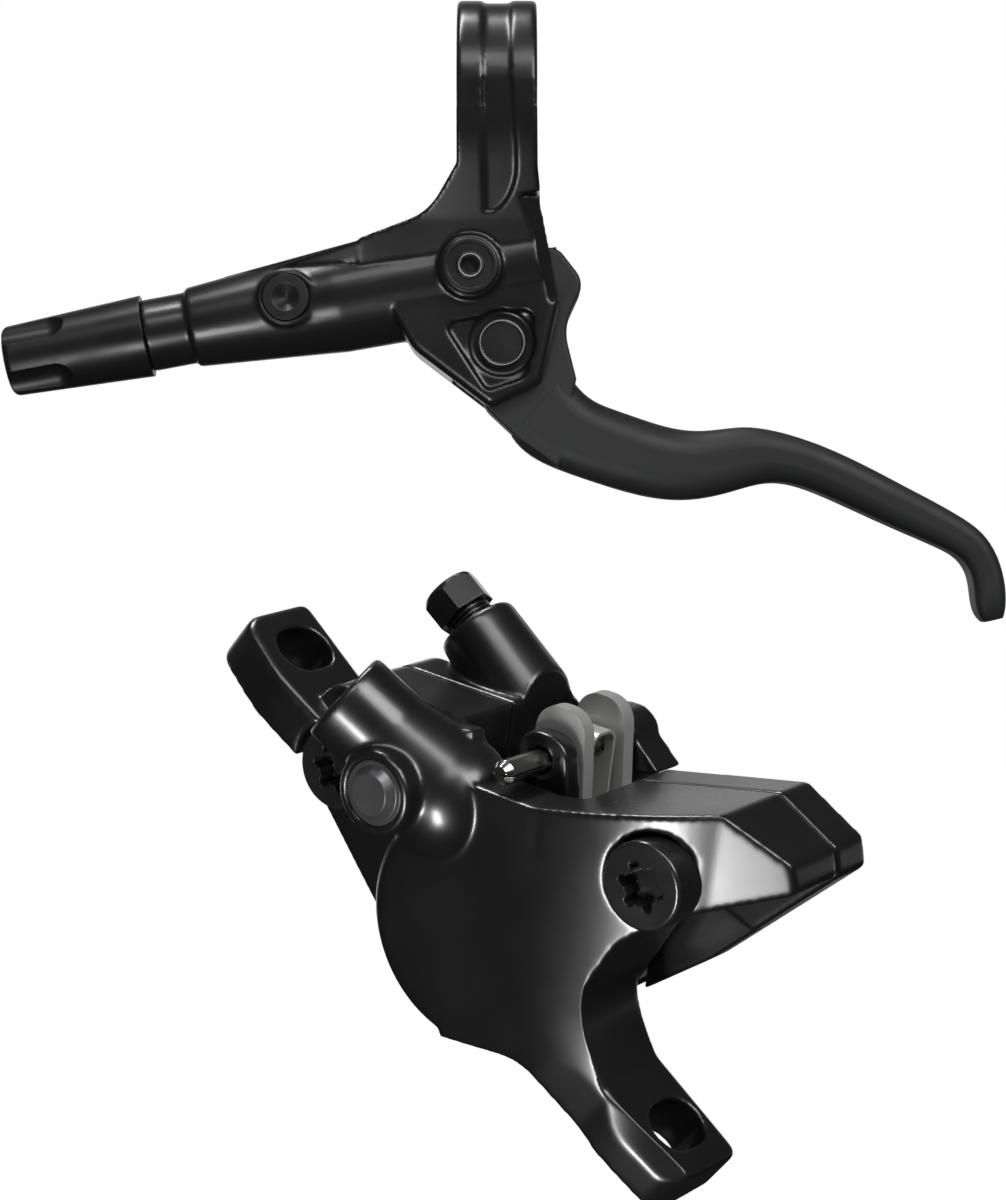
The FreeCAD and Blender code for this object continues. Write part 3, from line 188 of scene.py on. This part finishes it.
floor_height = cad_low.z - FLOOR_DROP
square = ((-1, -1), (1, -1), (1, 1), (-1, 1))
floor_mesh = bpy.data.meshes.new("studio_floor")
floor_mesh.from_pydata([(x * FLOOR_REACH, y * FLOOR_REACH, floor_height) for x, y in square], [], [(0, 1, 2, 3)])
floor = bpy.data.objects.new("studio_floor", floor_mesh)
bpy.context.scene.collection.objects.link(floor)
print("floor", round(FLOOR_DROP / MM), "mm below the caliper")

# %% Floor paint
FLOOR_GLOW = 0.93
FLOOR_TONE = (0.8, 0.8, 0.8, 1.0)
CARD_TONE = (0.04, 0.04, 0.04, 1.0)
CARD_ENDS = (0.9, 1.8)

floor_paint = bpy.data.materials.new("studio_floor")
floor_paint.use_nodes = True
tree = floor_paint.node_tree
tree.nodes.clear()
rays = add_node(tree, "ShaderNodeLightPath")
gloss = rays.outputs["Is Glossy Ray"]
seen = maths(tree, "MAXIMUM", rays.outputs["Is Camera Ray"], rays.outputs["Is Transmission Ray"])
where = add_node(tree, "ShaderNodeTexCoord")
parts = add_node(tree, "ShaderNodeSeparateXYZ")
link(tree, where.outputs["Object"], parts.inputs[0])
near = remap(tree, parts.outputs["Y"], CARD_ENDS[1], CARD_ENDS[0])
card = maths(tree, "MULTIPLY", near, gloss)
bright = maths(tree, "MAXIMUM", seen, maths(tree, "SUBTRACT", gloss, card))
tone = add_node(tree, "ShaderNodeMix", data_type="RGBA")
tone.inputs[6].default_value = FLOOR_TONE
tone.inputs[7].default_value = CARD_TONE
link(tree, card, tone.inputs["Factor"])
matt = add_node(tree, "ShaderNodeBsdfDiffuse")
link(tree, tone.outputs[2], matt.inputs["Color"])
glow = add_node(tree, "ShaderNodeEmission", Color=(1.0, 1.0, 1.0, 1.0))
link(tree, maths(tree, "MULTIPLY", bright, FLOOR_GLOW), glow.inputs["Strength"])
both = add_node(tree, "ShaderNodeAddShader")
link(tree, matt.outputs[0], both.inputs[0])
link(tree, glow.outputs[0], both.inputs[1])
floor_out = add_node(tree, "ShaderNodeOutputMaterial")
link(tree, both.outputs[0], floor_out.inputs["Surface"])
floor_mesh.materials.append(floor_paint)
print("floor dark to reflections up to", CARD_ENDS[0], "m behind the lever, white past", CARD_ENDS[1], "m")

# %% [markdown]
# ## The lamps
# One big lamp would light the set, but black paint shows form only by its highlights, and each needs a lamp
# where the surface mirrors it. A large soft box at the upper right gives the round forms their main
# highlight, and a dimmer one at the upper left fills the other side. A third stands high over the bridge and
# brightens the caliper's dome. A small card close to the caliper picks out the slanted face of the beam, and
# a strip overhead draws the hose boot's top.

# %% Lamps
middle = (cad_low + cad_high) / 2


def soft_box(name, place, size, watts, aim=middle):
    """An area lamp at a place in metres, turned towards a point."""
    data = bpy.data.lights.new(name, "AREA")
    data.shape = "RECTANGLE"
    data.size, data.size_y = size
    data.energy = watts
    lamp = bpy.data.objects.new(name, data)
    lamp.location = place
    lamp.rotation_euler = (Vector(aim) - Vector(place)).to_track_quat("-Z", "Y").to_euler()
    bpy.context.scene.collection.objects.link(lamp)
    print(name, [round(c, 2) for c in place], watts, "W")


soft_box("right_soft_box", (0.47, -0.70, 0.38), (0.46, 0.34), 4.5)
soft_box("high_soft_box", (-0.12, -0.70, 0.52), (0.34, 0.24), 1.3)
soft_box("bridge_soft_box", (0.16, -0.68, 0.53), (0.26, 0.22), 1.0)
soft_box("low_left_card", (-0.095, -0.290, -0.218), (0.036, 0.084), 0.42, aim=(0.022, -0.142, -0.107))
soft_box("boot_strip", (-0.085, -0.02, 0.30), (0.05, 0.20), 0.9, aim=(-0.068, 0.0, -0.04))

# %% [markdown]
# ## Finishes
# Nearly everything is black, so the finishes differ in gloss and grain more than in colour. Photographs of
# paint could be wrapped round the solids, but they would need a layout for each one. A procedural finish
# fits any shape. Each is one small tree: the shader, a slow noise that varies its colour and roughness in
# clouds, a fine noise for the grain, and a node that softens hard edges, where real paint is thin and round.

# %% A finish with grain
CLOUD_SCALE = 0.04375
GRAIN_SCALE = 0.5
CLOUD_RANGE = (0.3, 0.7)


def finish(name, colour, roughness, grain_size, grain_height, spread=0.06, tint=0.15, metal=0.0, specular=0.5,
           edge_radius=0.0, coat=0.0, coat_roughness=0.1):
    """A Principled material with noise in its colour and roughness, a fine bump, and soft edges."""
    material = bpy.data.materials.new(name)
    material.use_nodes = True
    tree = material.node_tree
    shader = tree.nodes["Principled BSDF"]
    shader.inputs["Metallic"].default_value = metal
    shader.inputs["Specular IOR Level"].default_value = specular
    shader.inputs["Coat Weight"].default_value = coat
    shader.inputs["Coat Roughness"].default_value = coat_roughness

    place = add_node(tree, "ShaderNodeTexCoord")
    cloud = add_node(tree, "ShaderNodeTexNoise", Scale=CLOUD_SCALE / grain_size, Detail=3.0)
    link(tree, place.outputs["Object"], cloud.inputs["Vector"])
    rough = remap(tree, cloud.outputs["Fac"], *CLOUD_RANGE, roughness - spread, roughness + spread)
    link(tree, rough, shader.inputs["Roughness"])

    shade = add_node(tree, "ShaderNodeMix", data_type="RGBA")
    shade.inputs[6].default_value = (*[c * (1 - tint) for c in colour], 1.0)
    shade.inputs[7].default_value = (*[min(1.0, c * (1 + tint)) for c in colour], 1.0)
    link(tree, cloud.outputs["Fac"], shade.inputs["Factor"])
    link(tree, shade.outputs[2], shader.inputs["Base Color"])

    grain = add_node(tree, "ShaderNodeTexNoise", Scale=GRAIN_SCALE / grain_size, Detail=2.0)
    link(tree, place.outputs["Object"], grain.inputs["Vector"])
    bump = add_node(tree, "ShaderNodeBump", Strength=1.0, Distance=grain_height)
    link(tree, grain.outputs["Fac"], bump.inputs["Height"])
    if edge_radius:
        soft = add_node(tree, "ShaderNodeBevel", samples=6, Radius=edge_radius)
        link(tree, soft.outputs[0], bump.inputs["Normal"])
    link(tree, bump.outputs[0], shader.inputs["Normal"])
    return material


# %% [markdown]
# The paints come first. The caliper is gloss paint under a clear coat, the lever's casting is a little
# plainer, and the blade, which a finger has to grip, is matt with a coarse grain.

# %% Paints
finishes = {
    "housing_paint": finish("housing_paint", (0.008, 0.008, 0.0086), 0.31, 0.0005, 0.000003, spread=0.04,
                            specular=0.42, edge_radius=0.0003, coat=0.1, coat_roughness=0.16),
    "caliper_paint": finish("caliper_paint", (0.005, 0.005, 0.0054), 0.32, 0.0006, 0.000002, spread=0.05,
                            specular=0.5, edge_radius=0.0003, coat=0.6, coat_roughness=0.22),
    "blade_paint": finish("blade_paint", (0.016, 0.0166, 0.018), 0.56, 0.00035, 0.000012, specular=0.4,
                          edge_radius=0.0004),
}
print(len(finishes), "paints")

# %% [markdown]
# Rubber, plastic, resin and the friction block have no metal in their shader. One dull black would be shorter,
# but the boot, the seals and the lid would then look alike. The friction block is a pressed mix of fibres and
# filings: its colour is uneven, and its grain is ten times as deep as a screw's.

# %% Rubber, resin and friction block
finishes.update({
    "boot_rubber": finish("boot_rubber", (0.007, 0.007, 0.0074), 0.36, 0.0004, 0.000008, specular=0.35,
                          edge_radius=0.0003),
    "seal_rubber": finish("seal_rubber", (0.012, 0.012, 0.012), 0.6, 0.0004, 0.00001),
    "lid_plastic": finish("lid_plastic", (0.015, 0.015, 0.016), 0.5, 0.0004, 0.00001, edge_radius=0.0003),
    "piston_resin": finish("piston_resin", (0.22, 0.20, 0.17), 0.45, 0.0004, 0.00001),
    "friction": finish("friction", (0.05, 0.045, 0.04), 0.85, 0.0005, 0.00004, tint=0.5, edge_radius=0.0002),
})
print(len(finishes), "finishes with the soft ones")

# %% [markdown]
# The metals run from blackened steel to bare brass. A black skin hides the metal under it, so the two black
# finishes have none in their shader, and the plated ones have only some: that keeps both from turning into
# mirrors. The pad plates are stamped and dull.

# %% Metals
finishes.update({
    "black_steel": finish("black_steel", (0.010, 0.010, 0.0105), 0.30, 0.0003, 0.000003, specular=0.6,
                          edge_radius=0.0002, coat=0.4, coat_roughness=0.15),
    "black_screw": finish("black_screw", (0.010, 0.010, 0.011), 0.36, 0.0003, 0.000004, specular=0.5,
                          edge_radius=0.0002),
    "brass": finish("brass", (0.62, 0.42, 0.16), 0.3, 0.0003, 0.000004, metal=1.0),
    "bright_steel": finish("bright_steel", (0.55, 0.55, 0.53), 0.22, 0.0003, 0.000003, metal=1.0,
                           edge_radius=0.00015),
    "spring_steel": finish("spring_steel", (0.60, 0.60, 0.59), 0.30, 0.0004, 0.000004, metal=0.6,
                           edge_radius=0.0001),
    "piston_aluminium": finish("piston_aluminium", (0.6, 0.6, 0.6), 0.3, 0.0003, 0.000004, metal=1.0),
    "plug_steel": finish("plug_steel", (0.13, 0.13, 0.135), 0.33, 0.0003, 0.000004, specular=0.6,
                         edge_radius=0.0002, metal=0.75),
    "plate_steel": finish("plate_steel", (0.34, 0.34, 0.335), 0.48, 0.0003, 0.000008, metal=0.35,
                          edge_radius=0.0002),
})
# The rims' light grey metal is a painted highlight: it stands for the bright line of light on the screws' rims.
painted_rim_highlight = finish("painted_rim_highlight", (0.30, 0.30, 0.305), 0.42, 0.0003, 0.000002, metal=0.4)
print(len(finishes), "finishes in all, and the rims' own")

# %% [markdown]
# ## Painting the solids
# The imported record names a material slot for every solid. A loop over it paints all of them at once, and
# nothing is left in plain grey.

# %% Paint the CAD nodes
painted = {}
for entry in frame["record"]["subparts"]:
    solid = frame["nodes"][entry["node"]]
    solid.data.materials.clear()
    solid.data.materials.append(finishes[entry["material_slot"]])
    painted.setdefault(entry["material_slot"], []).append(entry["node"])
for slot, nodes in sorted(painted.items()):
    print(slot, len(nodes))

# %% [markdown]
# ## Cast skins
# The housing is cast and the two caliper halves are forged: where two forms meet, the metal flows from one
# into the other in a small fillet. CAD joins them along hard lines. A bevel on every edge could round the
# outer corners, but not the inner ones. So a copy of each solid is rebuilt on a fine grid of cells and then
# relaxed, which rounds inner and outer corners by a few tenths of a millimetre, as a mould or a die does. The
# skin stands for the solid, which stays in the model underneath.

# %% Helpers for pieces
def slot_of(node):
    """The material slot that the record gives a CAD node."""
    return next(entry["material_slot"] for entry in frame["record"]["subparts"] if entry["node"] == node)


def add_piece(name, mesh, body):
    """A new object that rides on a body."""
    piece = bpy.data.objects.new(name, mesh)
    bpy.context.scene.collection.objects.link(piece)
    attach(piece, body)
    return piece


def applied(mesh, *modifiers):
    """The mesh after a row of modifiers; each is (kind, settings)."""
    body = bpy.data.objects.new("work", mesh)
    bpy.context.scene.collection.objects.link(body)
    for kind, settings in modifiers:
        modifier = body.modifiers.new(kind, kind)
        for key, value in settings.items():
            setattr(modifier, key, value)
    bpy.context.view_layer.update()
    shaped = bpy.data.meshes.new_from_object(body.evaluated_get(bpy.context.evaluated_depsgraph_get()))
    bpy.data.objects.remove(body)
    return shaped


# %% [markdown]
# A wedge is a small block of metal that the skin has and the solid hasn't. The grid welds it on, and
# relaxing hides the seam. The rule that shapes a skin moves its points while the skin lies in the piece's
# own position, where its faces are square to the axes.

# %% Re-skin a solid
CELL = 0.27
FIRST_PASSES = 3
FACES_KEPT = 0.5


def welded(mesh, wedges):
    """Add the hull of each wedge's corners to a mesh."""
    work = bmesh.new()
    work.from_mesh(mesh)
    for corners in wedges:
        made = [work.verts.new(Vector(corner) * MM) for corner in corners]
        bmesh.ops.convex_hull(work, input=made)
    work.to_mesh(mesh)
    work.free()


def reshaped(mesh, shape):
    """Move a mesh's points by a rule that works in mm."""
    points = np.empty(len(mesh.vertices) * 3)
    mesh.vertices.foreach_get("co", points)
    points = points.reshape(-1, 3) / MM
    mesh.vertices.foreach_set("co", (shape(points) * MM).ravel())


def cast_skin(node, name, passes, placement, shape, wedges=()):
    """A copy of a CAD solid, welded to its wedges on a grid of cells, shaped by a rule and relaxed."""
    mesh = frame["nodes"][node].data.copy()
    mesh.transform(placement.inverted())
    welded(mesh, wedges)
    grid = applied(mesh, ("REMESH", {"mode": "VOXEL", "voxel_size": CELL * MM}),
                   ("SMOOTH", {"iterations": FIRST_PASSES}))
    reshaped(grid, shape)
    relaxed = applied(grid, ("SMOOTH", {"iterations": passes}), ("DECIMATE", {"ratio": FACES_KEPT}))
    relaxed.name = name
    relaxed.transform(placement)
    relaxed.polygons.foreach_set("use_smooth", [True] * len(relaxed.polygons))
    relaxed.materials.clear()
    relaxed.materials.append(finishes[slot_of(node)])
    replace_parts(add_piece(name, relaxed, "frame"), node)
    bpy.data.meshes.remove(mesh)
    bpy.data.meshes.remove(grid)
    print(name, sum(len(face.vertices) - 2 for face in relaxed.polygons), "triangles")


# %% [markdown]
# ## The lever's casting
# Two creases run down the front of the clamp and neck and meet in a round turn above the bleed screw. The
# panel between them lies a little deeper. It could be cut with a second solid, but a rule that presses the
# skin's own points in gives the same soft crease that the casting has.

# %% Lever rules
PANEL_DEPTH = 0.42
PANEL_LEFT = -2.3
PANEL_WIDTH = 4.6
PANEL_LEAN = 0.4
PANEL_SPREAD = 0.5
PANEL_TURN = -12.3
PANEL_END = -20.0
CREASE = 0.12
BAND_FRONT = -14.6
BAND_SLOPE = 15.0
GROOVE_DEPTH = 0.4
NECK_TOP = -4.6


def ramp(value, start, end):
    """0 before start, 1 past end, and a smooth rise between them."""
    share = np.clip((value - start) / (end - start), 0.0, 1.0)
    return share * share * (3 - 2 * share)


def panel(x, z):
    """1 between the two creases, 0 outside them."""
    down = np.clip((PANEL_TURN - z) / (PANEL_TURN - PANEL_END), 0.0, 1.0)
    left = PANEL_LEFT + PANEL_LEAN * np.clip(z / PANEL_END, 0.0, 1.0)
    width = PANEL_WIDTH + PANEL_SPREAD * np.clip(z / PANEL_TURN, 0.0, 1.0)
    right = left + width * np.sqrt(1.0 - down * down)
    inside = ramp(x, left - CREASE, left + CREASE) * ramp(-x, -right - CREASE, -right + CREASE)
    return inside * ramp(z, PANEL_END, PANEL_END + 0.5)


def lever_shape(points):
    """Run the clamp's front straight into the neck, and press the panel between the two creases."""
    x, y, z = points.T
    inside = panel(x, z)
    front = BAND_FRONT - z / BAND_SLOPE
    joint = (np.abs(x) < 6.1) & (y < -12.5) & (z < 0.2) & (z > NECK_TOP)
    cut_already = np.clip(GROOVE_DEPTH + z / BAND_SLOPE, 0.0, GROOVE_DEPTH)
    pressed = y + (PANEL_DEPTH - cut_already) * inside * ramp(-y, 7.0, 8.5)
    moved = points.copy()
    moved[:, 1] = np.where(z < NECK_TOP, pressed, np.where(joint, front + PANEL_DEPTH * inside, y))
    return moved


print("panel", PANEL_WIDTH, "mm wide,", PANEL_DEPTH, "mm deep, down to z", PANEL_END)

# %% [markdown]
# The neck's web runs out in a thin fin along the top of the body. One wedge stands for it. It starts inside
# the neck, so that no step shows, and ends flush with the body's top.

# %% Lever skin
web_end = [(-18.5, -6.0, -25.0), (-18.5, 6.0, -25.0), (-18.5, -6.0, -27.0), (-18.5, 6.0, -27.0),
           (-21.4, -8.4, -24.0), (-21.4, -7.6, -27.0), (-21.4, 6.4, -24.0), (-21.4, 6.4, -27.0),
           (-43.0, -0.6, -28.9), (-43.0, -2.6, -30.4), (-43.0, 0.6, -28.9), (-43.0, 2.6, -30.4)]
cast_skin("lever_housing", "lever_casting", 7, Matrix.Identity(4), lever_shape, [web_end])

# %% [markdown]
# ## The caliper's halves
# The caliper hangs turned in space, and its pads are turned once more inside it. Both turns are written down
# once, so that every rule below can be given in the caliper's own directions.

# %% Where the caliper is
CALIPER = Matrix.Translation(Vector((-1.1, -118.6, -113.3)) * MM) @ Euler(
    (math.radians(13.75), math.radians(47.5), math.radians(-27.2)), "XYZ").to_matrix().to_4x4()
PAD_TURN = math.radians(33.0)
PAD_SHIFT = 5.0


def along_pads(points):
    """Distance along the pads of points in the caliper's frame."""
    return (points[:, 0] - PAD_SHIFT) * math.cos(PAD_TURN) + points[:, 2] * math.sin(PAD_TURN)


def from_pads(corners):
    """Points given along, into and out from the pads, in the caliper's frame."""
    turn = Matrix.Rotation(-PAD_TURN, 3, "Y")
    return [turn @ Vector(corner) + Vector((PAD_SHIFT, 0.0, 0.0)) for corner in corners]


print("caliper at", [round(c / MM, 1) for c in CALIPER.translation], "mm")

# %% [markdown]
# The front of the outer half is one flowing face: flat over the piston, then curving back along the beam and
# down the lower arm. CAD makes it of flat faces. A sculpted mesh could copy it by eye. A rule is shorter: it
# takes how far a point lies along the pads, and swaps the straight slope there for a curved one.

# %% Outer half
FACE = -8.0
BACK = 6.0
BEND = (7.5, 28.4)
BEND_DROP = 4.6
BEND_CURVE = 2.2
END_SLOPE = 1.6


def outer_shape(points):
    """Bend the front of the cheek, the beam and the arm's root into one curve."""
    x, y, z = points.T
    share = (along_pads(points) - BEND[0]) / (BEND[1] - BEND[0])
    straight = FACE + BEND_DROP * np.clip(share, 0.0, END_SLOPE)
    early = np.clip(share, 0.0, 1.0) ** BEND_CURVE
    curved = FACE + BEND_DROP * np.where(share < 1.0, early, 1.0 + END_SLOPE * (share - 1.0))
    depth = np.clip((BACK - y) / (BACK - straight), 0.0, 1.0)
    raised = y + (curved - straight) * depth * ramp(z, 0.0, 5.0)
    limit = FACE + (curved - FACE) * ramp(z, -6.0, 4.0)
    on_cheek = ramp(share, 0.0, 0.02)
    moved = points.copy()
    moved[:, 1] = np.where(on_cheek > 0, np.maximum(raised, limit), y)
    return moved


cast_skin("caliper_outer_half", "outer_casting", 16, CALIPER, outer_shape)

# %% [markdown]
# The inner half keeps its shape. It only gains a foot where its lug stands on the bridge, so that the lug's
# side slopes down instead of ending in a corner.

# %% Inner half
lug_foot = from_pads([(t, y, r) for y in (14.8, 20.0) for t, r in ((4.0, 20.4), (8.6, 16.6), (4.0, 15.5))])


def as_it_is(points):
    """No shaping."""
    return points


cast_skin("caliper_inner_half", "inner_casting", 12, CALIPER, as_it_is, [lug_foot])

# %% [markdown]
# ## Small turned details
# The bleed screw and the axle's head show a bright line of light on their rims. A flat chamfer would catch the
# light from one side only. So each rim is a thin round ring of light grey metal, a painted highlight, that sits
# in the face of its own screw or axle: a small circle carried round a large one, made point by point.

# %% A ring
RING_STEPS = 72
RING_SIDES = 10


def ring(name, centre, axis, radius, wire, body, material):
    """A thin ring round an axis, in mm."""
    work = bmesh.new()
    turn = Vector(axis).to_track_quat("Z", "Y").to_matrix()
    rows = []
    for k in range(RING_STEPS):
        around = 2 * math.pi * k / RING_STEPS
        row = []
        for j in range(RING_SIDES):
            tilt = 2 * math.pi * j / RING_SIDES
            reach = radius + wire * math.cos(tilt)
            spot = turn @ Vector((reach * math.cos(around), reach * math.sin(around), wire * math.sin(tilt)))
            row.append(work.verts.new((Vector(centre) + spot) * MM))
        rows.append(row)
    for k in range(RING_STEPS):
        here, there = rows[k], rows[(k + 1) % RING_STEPS]
        for j in range(RING_SIDES):
            beside = (j + 1) % RING_SIDES
            work.faces.new((here[j], there[j], there[beside], here[beside]))
    bmesh.ops.recalc_face_normals(work, faces=work.faces)
    mesh = bpy.data.meshes.new(name)
    work.to_mesh(mesh)
    work.free()
    mesh.polygons.foreach_set("use_smooth", [True] * len(mesh.polygons))
    mesh.materials.append(material)
    add_piece(name, mesh, body)
    print(name, "ring of", round(2 * radius, 1), "mm")


# %% [markdown]
# The places aren't typed again: each is read off the solid that the rim sits in, from the box of its points.
# The screw and the axle's head both face the camera, along -Y.

# %% Screw rims
def face_centre(node, sunk):
    """The middle of a node's front face, moved in by a little, in mm."""
    corners = [frame["nodes"][node].matrix_world @ vertex.co for vertex in frame["nodes"][node].data.vertices]
    low = [min(corner[k] for corner in corners) / MM for k in range(3)]
    high = [max(corner[k] for corner in corners) / MM for k in range(3)]
    return (low[0] + high[0]) / 2, low[1] + sunk, (low[2] + high[2]) / 2


TO_CAMERA = (0, -1, 0)
# Three light grey rings: painted highlights on the rims of the bleed screw, its socket and the axle's head.
ring("bleed_rim_highlight", face_centre("bleed_screw", 0.24), TO_CAMERA, 4.15, 0.14, "frame", painted_rim_highlight)
ring("bleed_socket_rim_highlight", face_centre("bleed_screw", 0.03), TO_CAMERA, 1.75, 0.12, "frame", painted_rim_highlight)
ring("axle_head_rim_highlight", face_centre("pivot_axle", 0.02), TO_CAMERA, 3.45, 0.10, "frame", painted_rim_highlight)

# %% [markdown]
# The bleed nipple has two fine ridges under its hexagon. The same ring makes both. They ride on the nipple,
# so they turn with it.

# %% Ridges on the bleed nipple
NIPPLE_SPOT = (-27.8, 16.0, 10.8)
NIPPLE_NECK = 1.6

nipple_axis = CALIPER.to_3x3() @ Vector((1, 0, 0))
for number, along in enumerate((0.35, 1.0)):
    spot = CALIPER @ ((Vector(NIPPLE_SPOT) + Vector((along - NIPPLE_NECK, 0, 0))) * MM) / MM
    ring("nipple_ridge_%d" % (number + 1), spot, nipple_axis, 2.75, 0.26, "nipple", finishes["black_steel"])

# %% [markdown]
# ## The pad pin
# A split pin holds the pads: a bent wire with an eye at its back end. From the front the inner lug hides the
# eye, so the skin has a smaller eye than the CAD solid. Only the points behind the lug move, each by a share
# of its distance from the pin's axis, and the rest is the solid's own shape.

# %% Pad pin
EYE_START = 20.4
PIN_SPOT = (1.1, 19.2)
EYE_SHARES = (0.5, 0.4, 0.6)


def pin_skin():
    """A copy of the pin with its eye drawn in behind the lug."""
    pads = CALIPER @ Matrix.Translation((PAD_SHIFT * MM, 0, 0)) @ Matrix.Rotation(-PAD_TURN, 4, "Y")
    mesh = frame["nodes"]["pad_pin"].data.copy()
    mesh.name = "split_pin"
    mesh.transform(pads.inverted())
    anchor = Vector((PIN_SPOT[0], EYE_START, PIN_SPOT[1]))
    for vertex in mesh.vertices:
        from_anchor = vertex.co / MM - anchor
        if from_anchor.y > 0:
            drawn_in = Vector([away * share for away, share in zip(from_anchor, EYE_SHARES)])
            vertex.co = (anchor + drawn_in) * MM
    mesh.transform(pads)
    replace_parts(add_piece("split_pin", mesh, "frame"), "pad_pin")
    print("split_pin, front end at y", round(min(vertex.co.y for vertex in mesh.vertices) / MM, 1))


pin_skin()

# %% [markdown]
# ## The return spring
# The spring sits in the bore ahead of the piston and shortens as the blade is pulled. The copy here is rigid:
# it is the solid's own mesh, riding on the frame in its place, so the piston can run into its coils.

# %% Return spring
def spring_skin():
    """A rigid copy of the return spring, in place of the solid."""
    mesh = frame["nodes"]["return_spring"].data.copy()
    mesh.name = "coil_spring"
    piece = add_piece("coil_spring", mesh, "frame")
    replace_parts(piece, "return_spring")
    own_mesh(piece)


spring_skin()
